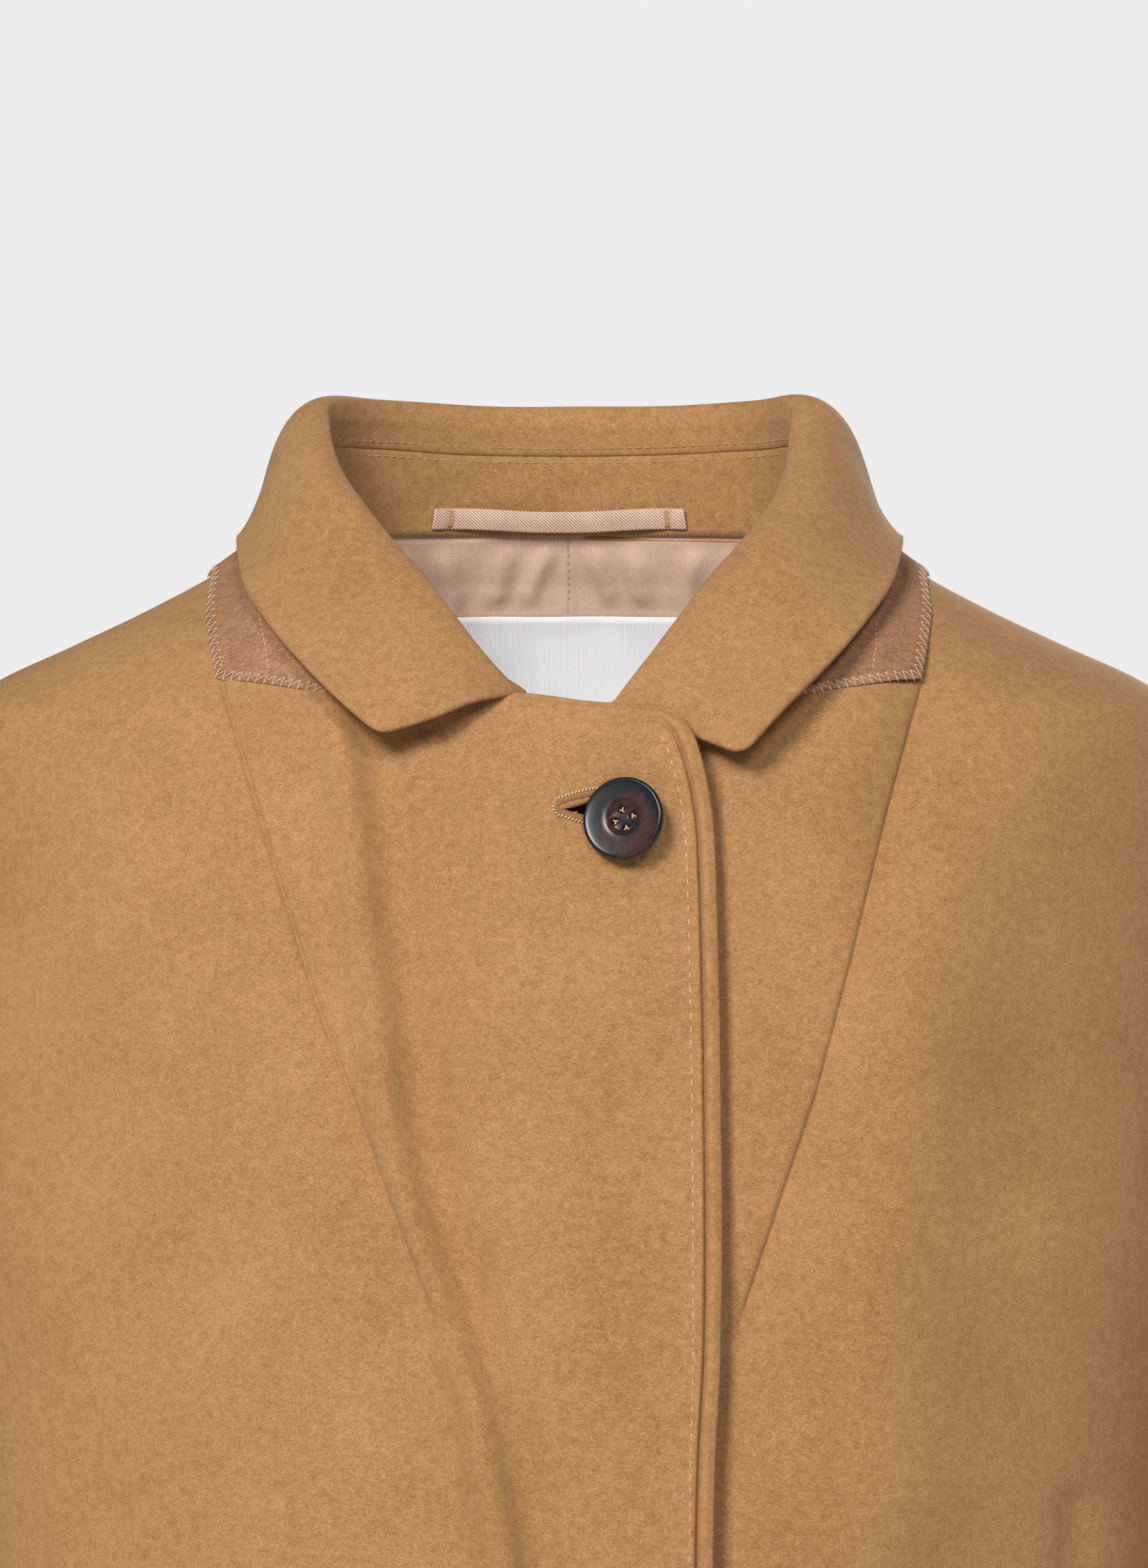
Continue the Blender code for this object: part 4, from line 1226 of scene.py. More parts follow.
@dataclass
class Fibres:
    """Loose fibres of the nap along a cloth's edge."""

    count: int
    long: float = 1.1
    radius: float = 0.075
    rim: float = 2.6
    swell: float = 1.25

    def make(self, shop: Workshop, name: str, edge: Array, inner: Array, ups: Array) -> Piece:
        """The fibres.

        Args:
            shop: Where the piece is made.
            name: Name of the piece.
            edge: Points along the edge of the outer face.
            inner: Points of the face a little inside the edge.
            ups: Ways out of the face.

        Returns:
            The fibres, joined.
        """
        chance = np.random.default_rng(7)
        places = chance.uniform(0.0, 1.0, self.count)
        length = passed(edge)
        table = np.concatenate([edge, unit(edge - inner), ups], axis=1)
        drawn = read_at(places * length[-1], length, table)
        root, away, up = np.split(drawn, 3, axis=1)
        deep = chance.uniform(0.0, 1.0, (self.count, 1))
        root = root - up * (self.rim * deep) + away * (self.swell * np.sin(math.pi * deep))
        way = unit(away + up * (0.9 * np.cos(math.pi * deep)) + chance.normal(0.0, 0.8, (self.count, 3)))
        tip = root + way * (self.long * chance.uniform(0.35, 1.0, (self.count, 1)))
        side = unit(np.cross(way, (0.3, 1.0, 0.2)))
        turns = [side, -0.5 * side + 0.87 * np.cross(way, side), -0.5 * side - 0.87 * np.cross(way, side)]
        points = np.stack([root - way * 0.2 + turn * self.radius for turn in turns] + [tip], axis=1)
        needle = np.asarray([(0, 2, 1), (0, 1, 3), (1, 2, 3), (2, 0, 3)])
        faces = (needle[None] + 4 * np.arange(self.count)[:, None, None]).reshape(-1, 3)
        return shop.piece(name, points.reshape(-1, 3), faces.tolist(), CAMEL)


@dataclass
class FrontPanel:
    """One front with its dart; the viewer's left one laps over and has the buttonhole."""

    body: BodyForm
    side: Side
    cut: Cut
    wall: float = 2.5
    seam_gap: float = 0.03
    under_drop: float = 5.0
    # rows between one line of the table and the next
    row_counts: tuple[int, ...] = (36, 42, 40, 40, 34, 10, 9, 8, 9, 12, 12, 18, 14, 10, 8, 7, 7, 7)
    edge_steps: tuple[float, ...] = (0.0, 0.7, 1.5, 2.4, 3.2, 3.8, 4.2, 4.5, 4.8, 5.1, 5.4, 5.8, 6.6, 7.6,
                                     9.0, 10.4, 13.0)
    dart_steps: tuple[float, ...] = (12.0, 8.0, 5.5, 3.8, 2.6, 1.7, 1.0, 0.45)
    inner_columns: int = 30
    outer_columns: int = 36
    groove: float = 4.8
    groove_depth: float = 2.8
    groove_width: float = 0.55
    edge_off: float = 3.2
    fold_rise: float = 6.2
    fold_width: float = 10.0
    ridge_rise: float = 6.5
    ridge_width: float = 34.0
    hollow_depth: float = 2.6
    hollow_width: float = 13.0
    pit_depth: float = 7.0
    topstitch: float = 9.0
    stitch_pitch: float = 4.6
    stitch_length: float = 2.7
    stitch_radius: float = 0.24
    slit_start: float = -3.2
    slit_end: float = 25.0
    slit_height: float = -110.6
    slit_half: float = 2.9

    def __post_init__(self) -> None:
        """Reads the tables for this side."""
        self.over = self.side is Side.RIGHT
        self.name = "front_right" if self.over else "front_left"
        self.dart = np.asarray(DART_LEFT if self.over else DART_RIGHT)
        numbers = row_numbers(self.row_counts)
        self.rows = spline(FRONT_ROWS, numbers)
        self.edge = self.rows[:, 0] if self.over else self.rows[:, 1]
        self.edge_height = self.rows[:, 2]
        if not self.over:
            drop = step(40.0, 0.0, self.edge) * step(-90.0, -74.0, self.edge_height)
            self.edge_height = self.edge_height - self.under_drop * drop
        else:
            self.edge_height = self.edge_height - self.lap_rise(numbers)
        low = numbers <= 11.0
        self.edge_path = np.stack([self.side.value * self.edge[low], self.edge_height[low]], axis=-1)[::2]
        low = numbers <= 8.0
        self.lap_path = np.stack([2.0 - self.rows[low, 0], self.rows[low, 2]], axis=-1)[::4]

    def lap_rise(self, numbers: Array) -> Array:
        """How far the lap's raise carries the top edge up.

        Args:
            numbers: Places of the rows in the table.

        Returns:
            Rise of every row.
        """
        turn = self.body.turn_at(self.side.value * self.edge, self.edge_height)
        raised = self.body.front(turn, self.edge_height) + self.body.lap(turn, self.edge_height)
        share = step(8.0, 9.5, numbers) * (1.0 - step(11.5, 13.0, numbers))
        return share * raised * self.body.normal(turn, self.edge_height)[:, 2]

    def fine(self, x: Array, z: Array) -> Array:
        """Small relief of the cloth: dart, turned edge, creases and unevenness.

        Args:
            x: Sideways places.
            z: Heights.

        Returns:
            Heights over the form.
        """
        reach, share = line_reach(self.dart, x, z)
        reach = reach * -self.side.value
        fade = 1.0 - step(0.96, 1.0, share)
        form = fade * (-1.3 * np.exp(-(reach / 0.85) ** 2) + 0.45 * np.exp(-((reach - 3.4) / 2.2) ** 2))
        edge = np.abs(line_reach(self.edge_path, x, z)[0])
        turned = step(-76.0, -92.0, z)
        calm = step(0.0, 25.0, edge)
        form += calm * (0.45 * ripples(x, z, 80.0, 1.0) + 0.07 * ripples(x, z, 24.0, 2.2))
        if self.over:
            form += fold(FOLD_LEFT, x - 3.0, z, self.fold_rise, self.fold_width)
            in_groove = np.exp(-((edge - self.groove) / self.groove_width) ** 2)
            form -= turned * self.groove_depth * in_groove
            form -= turned * 0.35 * np.exp(-((edge - self.topstitch) / 1.0) ** 2)
            form += 0.9 * np.exp(-((edge - 2.4) / 1.5) ** 2)
            form += trough(ROLL_CREASE, x, z, 1.6, 4.5)
            form += turned * self.edge_off * np.exp(-(edge / 11.0) ** 2)
            form -= 1.0 * np.exp(-((x - 9.0) / 7.0) ** 2 - ((z + 115.0) / 10.0) ** 2)
        else:
            form += trough(RIDGE_RIGHT, x, z, -self.ridge_rise, self.ridge_width)
            form += trough(WAIST_RIGHT, x, z, 1.4, 5.0)
            form += trough(HOLLOW_RIGHT, x, z, self.hollow_depth, self.hollow_width)
            form += trough(self.lap_path, x, z, 1.8, 5.0)
            # sunk behind the buttonhole, so that its slit opens on shadow
            pit = ((x - 8.0) / 10.0) ** 2 + ((z - self.slit_height) / 6.0) ** 2
            form -= self.pit_depth * np.exp(-pit)
        return form

    def place(self, x: Array, z: Array, lift: float = 0.0) -> Pair:
        """Point and direction on the outer face at an x and height of the front view."""
        turn = self.body.turn_at(np.asarray(x, dtype=float), np.asarray(z, dtype=float))
        return self.on_face(turn, z, lift)

    def on_face(self, turn: Array, height: Array, lift: Array | float = 0.0) -> Pair:
        """Point and direction on the outer face at a turn and height.

        Args:
            turn: Degrees, 0 in front.
            height: Heights over the origin.
            lift: Height over the face.

        Returns:
            Points and directions.
        """
        point = self.body.point(turn, height)
        normal = self.body.normal(turn, height)
        form = self.body.front(turn, height) + self.fine(point[..., 0], point[..., 2]) + lift
        if self.over:
            form += self.body.lap(turn, height)
        return point + normal * form[..., None], normal

    def guide(self) -> Array:
        """The dart's line on the own side, carried on to the shoulder and the hem.

        Returns:
            Points, x and height.
        """
        own = self.dart * (self.side.value, 1.0)
        top = np.asarray([(137.0, -17.0), (134.0, -28.0), (131.5, -40.0), (128.5, -52.0)])
        low = own[-1] + np.asarray([(-8.0, -30.0), (-14.0, -80.0), (-18.0, -400.0), (-18.0, -800.0)])
        return np.concatenate([top, own, low])

    def grid(self) -> Pair:
        """Turn and height of the panel's points on its own side; one column follows the dart.

        Returns:
            Turns and heights, rows by columns.
        """
        inner = self.body.turn_at(self.edge, self.edge_height)
        inner[-1] = 90.0
        share = np.linspace(0.0, 1.0, 241)
        starts = inner[:, None], self.edge_height[:, None]
        ends = self.rows[:, 3:4], self.rows[:, 4:5]
        turn, height = (between(start, end, share) for start, end in zip(starts, ends))
        point = self.body.point(turn, height)
        reach = line_reach(self.guide(), point[..., 0], point[..., 2])[0]
        length = np.concatenate([np.zeros((len(turn), 1)),
                                 np.cumsum(np.linalg.norm(np.diff(point, axis=1), axis=2), axis=1)], axis=1)
        shares = []
        at_dart = 0.3
        for row in range(len(turn)):
            change = np.nonzero(np.sign(reach[row, 1:]) != np.sign(reach[row, :-1]))[0]
            if len(change):
                k = change[0]
                part = reach[row, k] / (reach[row, k] - reach[row, k + 1])
                at_dart = float(np.clip((k + part) / 240.0, 0.03, 0.9))
            whole = length[row, -1]
            dart = np.interp(at_dart, share, length[row])
            shares.append(np.interp(self.columns(dart, whole), length[row], share))
        shares = np.asarray(shares)
        return between(starts[0], ends[0], shares), between(starts[1], ends[1], shares)

    def columns(self, dart: float, whole: float) -> Array:
        """Places across one row, close together at the edge and at the dart.

        Args:
            dart: Place of the dart.
            whole: Width of the row.

        Returns:
            Places from the front edge.
        """
        edge = np.asarray(self.edge_steps)
        near = np.asarray(self.dart_steps)
        fit_edge = min(1.0, 0.42 * dart / edge[-1])
        fit_in = min(1.0, 0.42 * dart / near[0])
        fit_out = min(1.0, 0.42 * (whole - dart) / near[0])
        first = edge * fit_edge
        before = dart - near * fit_in
        after = dart + near[::-1] * fit_out
        return np.concatenate([
            first,
            np.linspace(first[-1], before[0], self.inner_columns + 2)[1:-1],
            before,
            [dart],
            after,
            np.linspace(after[-1], whole, self.outer_columns + 1)[1:],
        ])

    def in_slit(self, x: Array, z: Array) -> Array:
        """How far points are into the buttonhole; over 0 is inside.

        Args:
            x: Sideways places.
            z: Heights.

        Returns:
            Depth into the slit.
        """
        middle = 0.5 * (self.slit_start + self.slit_end)
        half = 0.5 * (self.slit_end - self.slit_start)
        return self.slit_half * (1.0 - ((x - middle) / half) ** 2) - np.abs(z - self.slit_height)

    def make(self, shop: Workshop) -> None:
        """The panel and its sewing.

        Args:
            shop: Where the piece is made.
        """
        turn, height = self.grid()
        dip = -0.8 * np.exp(-(to_row_end(self.body.point(turn, height)) / 1.8) ** 2)
        outer, normal = self.on_face(self.side.value * turn, height, dip)
        seam = np.abs(turn - 95.0) < 1e-6
        seam[-1] = True
        outer[seam, 1] -= self.seam_gap
        swell = np.full(turn.shape, 0.45)
        swell[:, -1] = 0.02
        swell[-1] = 0.02
        cloth = Surface.grid(outer).facing(normal)
        if self.over:
            cloth = self.open_slit(cloth)
        panel = shop.cloth(self.name, "cloth", cloth, CAMEL, self.wall, swell)
        sewing = []
        if self.over:
            seen = outer[:, 0, 2] > -420.0
            fuzz = Fibres(2800)
            sewing.append(fuzz.make(shop, "lap_fibres", outer[seen, 0], outer[seen, 3], normal[seen, 0]))
            sewing.append(self.top_row(shop))
            sewing.extend(self.lips(shop))
        self.cut.declare(panel, sewing)

    def open_slit(self, surface: Surface) -> Surface:
        """The face with the buttonhole open.

        Args:
            surface: Face of the panel.

        Returns:
            The face with the slit cut out.
        """
        middle = surface.points[surface.quads].mean(axis=1)
        inside = (self.in_slit(middle[:, 0], middle[:, 2]) > -0.8) & (middle[:, 1] < 0.0)
        return Surface(surface.points, surface.quads[~inside])

    def top_row(self, shop: Workshop) -> Piece:
        """Topstitching along the lapping edge.

        Args:
            shop: Where the piece is made.

        Returns:
            The stitches.
        """
        path = self.edge_path[::-1]
        way = unit(np.gradient(path, axis=0))
        inside = np.stack([way[:, 1], -way[:, 0]], axis=-1)
        depth = self.topstitch - 1.8 * step(-260.0, -360.0, path[:, 1])
        line = path + inside * depth[:, None]
        line = line[(line[:, 1] > -1046.0) & (line[:, 0] > 30.0)]
        point, normal = self.place(line[:, 0], line[:, 1])
        work = ThreadWork()
        work.add(*running(point, normal, self.stitch_pitch, self.stitch_length, 0.12), self.stitch_radius)
        return shop.threads("front_topstitch", work, THREAD)

    def ring(self, tip: float, far: float, half: float, end: float, count: int) -> Array:
        """Closed outline round the buttonhole with rounded ends.

        Args:
            tip: Its left end.
            far: Its right end.
            half: Half its height in the middle.
            end: Half its height at the ends.
            count: Number of points.

        Returns:
            Points, x and height over the buttonhole's line, evenly spaced.
        """
        x = np.concatenate([tip + end * (1.0 - np.cos(np.linspace(0.0, 0.5 * math.pi, 30))),
                            np.linspace(tip + end, far - end, 60)[1:-1],
                            far - end * (1.0 - np.cos(np.linspace(0.5 * math.pi, 0.0, 30)))])
        u = np.clip((x - tip - end) / (far - tip - 2.0 * end), 0.0, 1.0)
        inside = np.clip(np.minimum(x - tip, far - x) / end, 0.0, 1.0)
        round_end = np.sqrt(np.clip(1.0 - (1.0 - inside) ** 2, 0.0, 1.0))
        height = round_end * (end + (half - end) * np.sin(math.pi * u))
        upper = np.stack([x, height], axis=-1)
        closed = np.concatenate([upper, (upper * (1.0, -1.0))[::-1][1:]])
        length = passed(closed)
        return read_at(np.linspace(0.0, length[-1], count, endpoint=False), length, closed)

    def lips(self, shop: Workshop) -> list[Piece]:
        """Stitched lips of the buttonhole and the beaded purl round them.

        Args:
            shop: Where the piece is made.

        Returns:
            The lips and their purl.
        """
        inner = self.ring(self.slit_start, self.slit_end, self.slit_half, 0.25, 130)
        purl = self.slit_start - 1.9, self.slit_end + 1.9, self.slit_half + 2.9, 3.1
        outer = self.ring(*purl, 130)
        share = np.asarray([0.0, 0.25, 0.5, 0.75, 1.0])[:, None]
        lift = np.asarray([-0.9, 0.20, 0.40, 0.35, -0.2])
        line = between(inner[:, None], outer[:, None], share)
        point, normal = self.place(line[..., 0], self.slit_height + line[..., 1])
        work = ThreadWork()
        work.add(point + normal * lift[:, None], normal, 0.27)
        lips = shop.threads("buttonhole_lips", work, LIP_THREAD)
        beads = self.ring(*purl, 60)
        way = unit(np.roll(beads, -1, axis=0) - np.roll(beads, 1, axis=0))
        out = np.stack([-way[:, 1], way[:, 0]], axis=-1)
        slant = np.linspace(-0.45, 0.45, 5)[:, None]
        line = beads[:, None] + (out[:, None] + way[:, None]) * slant
        point, normal = self.place(line[..., 0], self.slit_height + line[..., 1])
        work = ThreadWork()
        work.add(point + normal * np.asarray([0.1, 0.45, 0.6, 0.45, 0.05])[:, None], normal, 0.36)
        return [lips, shop.threads("buttonhole_purl", work, THREAD)]


@dataclass
class BackPanel:
    """The back, one piece across, from the hem to the shoulder seams and the neckline."""

    body: BodyForm
    cut: Cut
    wall: float = 2.5
    seam_gap: float = 0.03
    row_counts: tuple[int, ...] = (40, 30, 30, 24, 22, 8, 6, 5, 5, 8, 8, 8, 8, 8)
    columns: int = 64
    # turn, height along the soft creases of one half
    creases: tuple = (
        ((118, -215), (140, -260), (158, -330)),
        ((116, -250), (126, -330), (130, -430)),
        ((172, -60), (170, -120), (168, -200)),
        ((150, -480), (146, -650), (144, -1000)),
        ((176, -520), (174, -700), (172, -1040)),
    )

    def relief(self, turn: Array, height: Array, side: Side) -> Array:
        """Creases and unevenness of one half.

        Args:
            turn: Degrees, 0 in front.
            height: Heights over the origin.
            side: Side of the coat.

        Returns:
            Heights over the form.
        """
        form = 0.6 * ripples(turn * 3.0 * side.value, height, 80.0, 3.1) * step(180.0, 172.0, turn)
        for number, path in enumerate(self.creases):
            scaled = [(place * 2.0, at) for place, at in path]
            depth = 1.5 - 0.5 * ((number + (side is Side.LEFT)) % 2)
            form += trough(scaled, turn * 2.0, height, depth, 9.0) * step(180.0, 176.0, turn)
        return form

    def half(self, side: Side) -> tuple[Surface, Array]:
        """Outer face of one half and how far its edges round out.

        Args:
            side: Side of the coat.

        Returns:
            The face and its edges' swell.
        """
        numbers = row_numbers(self.row_counts)
        rows = spline(BACK_ROWS, numbers)
        rows[:, 0] = np.minimum(rows[:, 0], 180.0)
        rows[numbers <= 9.0, 0] = 180.0
        rows[numbers <= 3.0, 2] = 95.0
        rows[-1, [0, 2]] = 90.0
        share = 1.0 - (1.0 - np.linspace(0.0, 1.0, self.columns)) ** 1.15
        turn = between(rows[:, 0:1], rows[:, 2:3], share)
        height = between(rows[:, 1:2], rows[:, 3:4], share)
        point = self.body.point(side.value * turn, height)
        normal = self.body.normal(side.value * turn, height)
        form = self.body.skirt(side.value * turn, height) + self.relief(turn, height, side)
        form = form * step(0.0, 6.0, 1060.0 + height) - 0.8 * np.exp(-(to_row_end(point) / 1.8) ** 2)
        outer = point + normal * form[..., None]
        outer[:, -1, 1] += np.where(rows[:, 3] <= -275.0, self.seam_gap, 0.0)
        outer[-1, :, 1] += self.seam_gap
        outer[numbers <= 9.0, 0, 0] = 0.0
        swell = np.full(turn.shape, 0.35)
        swell[:, -1] = 0.02
        swell[-1] = 0.02
        return Surface.grid(outer).facing(normal), swell.reshape(-1)

    def make(self, shop: Workshop) -> None:
        """The panel.

        Args:
            shop: Where the piece is made.
        """
        left, swell = self.half(Side.LEFT)
        right, _swell = self.half(Side.RIGHT)
        whole, source = left.joined(right)
        swell = np.concatenate([swell, swell])[source]
        self.cut.declare(shop.cloth("back", "cloth", whole, CAMEL, self.wall, swell))


@dataclass
class Sleeve:
    """One sleeve: a tube from the armhole to the cuff with soft creases."""

    body: BodyForm
    side: Side
    cut: Cut
    wall: float = 2.5
    rows: int = 190
    columns: int = 120

    def armhole(self) -> tuple[Array, Array, Array, Array]:
        """Armhole loop on the body from the shoulder point by the front, its angles and its two ends.

        Returns:
            Points of the loop, their angles, the shoulder point and the lowest point.
        """
        front = spline(FRONT_ROWS, np.linspace(len(FRONT_ROWS) - 1.0, 4.0, 90))[:, 3:5]
        back = spline(BACK_ROWS, np.linspace(3.0, len(BACK_ROWS) - 1.0, 90))[1:-1, 2:4]
        loop = np.concatenate([front, back])
        points = self.body.point(loop[:, 0], loop[:, 1])
        closed = np.concatenate([points, points[:1]])
        length = passed(closed)
        low = length[len(front) - 1]
        angle = math.pi * np.where(length <= low, length / low, 1.0 + (length - low) / (length[-1] - low))
        even = 2.0 * math.pi * np.arange(self.columns) / self.columns
        return read_at(even, angle, closed), even, points[0], points[len(front) - 1]

    def creases(self, points: Array, along: Array) -> Array:
        """Inward folds at the elbow, long drags from the armhole and a slight unevenness.

        Args:
            points: Points, millimetres.
            along: Share of the way down.

        Returns:
            Heights over the tube.
        """
        height = points[..., 2]
        centre = points.mean(axis=1, keepdims=True)
        away = unit((points - centre) * (1.0, 1.0, 0.0))
        front = np.clip(-away[..., 1], 0.0, 1.0)
        turn = np.degrees(np.arctan2(away[..., 0], -away[..., 1]))
        slant = height + 0.35 * turn
        share = np.exp(-((height + 470.0) / 75.0) ** 2)
        form = 2.0 * np.sin(slant / 14.0) * share * (0.35 + 0.65 * front)
        drag = np.exp(-((height + 250.0) / 90.0) ** 2) * step(0.0, 1.2, along)
        form += 1.6 * np.sin(turn / 13.0 + height / 70.0) * drag
        form += 0.7 * ripples(turn * 1.6, height, 60.0, 4.0 + self.side.value) * step(0.0, 1.5, along)
        return away * form[..., None]

    def make(self, shop: Workshop) -> None:
        """The tube.

        Args:
            shop: Where the piece is made.
        """
        loop, angle, top, low = self.armhole()
        table = np.asarray(SLEEVE_ROWS)
        along = np.linspace(0.0, 1.0, self.rows) ** 1.15 * len(table)
        rows = []
        for number in along:
            row = spline(table, np.asarray([max(number - 1.0, 0.0)]))[0]
            centre = 0.5 * np.asarray([row[0] + row[2], -2.0 * row[5], row[1] + row[3]])
            axis = 0.5 * np.asarray([row[0] - row[2], 0.0, row[1] - row[3]])
            tube = centre + np.cos(angle)[:, None] * axis
            tube[:, 1] -= row[4] * np.sin(angle)
            first = 0.5 * (top + low)
            moved = loop + (centre - first) * min(number, 1.0)
            blend = float(step(0.0, 3.0, number))
            rows.append(between(moved, tube, blend))
        outer = np.asarray(rows)
        outer[0] = loop + np.asarray([0.5, 0.0, 0.0])
        place = np.broadcast_to(along[:, None], outer.shape[:2])
        outer = outer + self.creases(outer, place)
        outer = outer * (self.side.value, 1.0, 1.0)
        away = outer - outer.mean(axis=1, keepdims=True)
        surface = Surface.grid(outer, closed=True).facing(away)
        swell = np.full(outer.shape[:2], 0.4)
        swell[0] = 0.02
        name = "sleeve_" + self.side.name.lower()
        self.cut.declare(shop.cloth(name, "cloth", surface, CAMEL, self.wall, swell))


@dataclass
class Collar:
    """Upper collar with its two leaves, over the roll and down to the stand seam."""

    neck: NeckForm
    cut: Cut
    wall: float = 2.6
    sections: int = 330
    fall_lines: int = 44
    inner_lines: int = 20
    tip_radius: float = 4.5
    peak: float = 0.275 ** 0.55 * 0.725 ** 1.45
    # section, distance that the leaf's edge stands off
    stand_off: tuple = ((0, 1.4), (2, 1.4), (3, 1), (4.5, 0), (15, 0), (16, 2.6), (17, 5), (18, 6.4), (19, 7),
                        (20, 7))
    # section, distance that the leaf bows off between its roll and its edge
    bow_off: tuple = ((0, 3.4), (1, 3), (2, 1.6), (3, 0.6), (4.5, 0))

    def face(self) -> Array:
        """Outer face: sections by lines from the leaf's edge to the seam.

        Returns:
            Sections by lines of points.
        """
        where = np.linspace(0.0, self.neck.last, self.sections)
        at = self.neck.at(where)
        roll = at.roll
        chord = at.edge - roll
        up = unit(np.cross(at.tangent, chord))
        up = np.where(np.sum(up * at.out, axis=-1, keepdims=True) < 0.0, -up, up)
        off = np.interp(where, *np.asarray(self.stand_off).T)[:, None]
        bow = np.interp(where, *np.asarray(self.bow_off).T)[:, None]
        lines = []
        for t in (1.0 - np.linspace(0.0, 1.0, self.fall_lines)) ** 1.5:
            hump = t ** 0.55 * (1.0 - t) ** 1.45 / self.peak
            standing = FRONTWARD * (off * t ** 3.5 + bow * math.sin(math.pi * t) ** 1.5)
            lines.append(roll + chord * t + up * (at.bulge * hump)[:, None] + standing)
        for t in np.linspace(0.0, 1.0, self.inner_lines + 1)[1:]:
            inset = self.neck.inset * min(1.0, t / 0.4) ** 0.6 - 0.6 * max(0.0, 10.0 * t - 9.0) ** 2
            lines.append(at.below(at.drop * t, inset))
        return self.carried_on(np.asarray(lines).transpose(1, 0, 2))

    def carried_on(self, face: Array) -> Array:
        """The face with its ends carried on at the roll, under the front's top edge, and hollowed below it.

        Args:
            face: Sections by lines of points.

        Returns:
            The face, carried on.
        """
        down = (1.0 - np.linspace(0.0, 1.0, self.fall_lines)) ** 1.5
        share = np.concatenate([down, np.zeros(self.inner_lines)])
        result = face.copy()
        for end, reach, hollow, sink in ((1, 0.0, 1.6, 5.0), (-1, 3.0, 0.0, 0.0)):
            part = result[::end]
            fade = np.clip(1.0 - np.arange(14) / 14.0, 0.0, 1.0)[:, None, None] ** 2
            pull = ((1.0 - share) ** 3)[:, None]
            if end < 0:
                run = ((14.0 - np.arange(14)) / 30.0)[:, None, None]
                straight = part[14:15] + (part[14:15] - part[44:45]) * run
                part[:14] += (straight - part[:14]) * pull
            way = unit(part[:1] - part[40:41]) * reach * pull - FRONTWARD * sink * pull
            rise = hollow * np.exp(-((share - 0.32) / 0.22) ** 2)
            part[:14] += fade * (way + rise[:, None] * (0.0, 0.0, 1.0))
        return result

    def rounded(self, face: Array) -> Array:
        """The face with its tips rounded.

        Args:
            face: Sections by lines of points.

        Returns:
            The face, rounded.
        """
        result = face.copy()
        for end in (1, -1):
            part = result[::end]
            front = np.linalg.norm(part - part[:1], axis=2)
            side = np.linalg.norm(part - part[:, :1], axis=2)
            u = np.clip(1.0 - front / self.tip_radius, 0.0, 1.0)
            v = np.clip(1.0 - side / self.tip_radius, 0.0, 1.0)
            slip_u = u * (1.0 - np.sqrt(1.0 - 0.5 * v * v)) * self.tip_radius
            slip_v = v * (1.0 - np.sqrt(1.0 - 0.5 * u * u)) * self.tip_radius
            way_u = unit(part[14:15] - part[:1])
            way_v = unit(part[:, 6:7] - part[:, :1])
            part += way_u * slip_u[..., None] + way_v * slip_v[..., None]
        return result

    def make(self, shop: Workshop) -> None:
        """The collar.

        Args:
            shop: Where the piece is made.
        """
        face = self.rounded(self.face())
        out = self.neck.at(np.linspace(0.0, self.neck.last, self.sections)).out
        ways = np.repeat(out[:, None], face.shape[1], axis=1)
        ways[:, self.fall_lines:] *= -1.0
        surface = Surface.grid(face).facing(ways)
        x, y, z = surface.points.T
        lift = 0.35 * ripples(x + 0.7 * y, z, 34.0, 5.0)
        surface = Surface(surface.points + surface.normals() * lift[:, None], surface.quads)
        normals = surface.normals().reshape(face.shape)
        swell = np.full(face.shape[:2], 0.5)
        swell[:, -1] = 0.12
        collar = shop.cloth("collar", "cloth", surface, CAMEL, self.wall, swell, 5)
        fall = slice(0, self.fall_lines - 8)
        edge, inner, ups = (np.concatenate([part[line, fall][::-1], part[:, line], part[-1 - line, fall]])
                            for part, line in ((face, 0), (face, 3), (normals, 0)))
        self.cut.declare(collar, [Fibres(9000).make(shop, "collar_fibres", edge, inner, ups)])


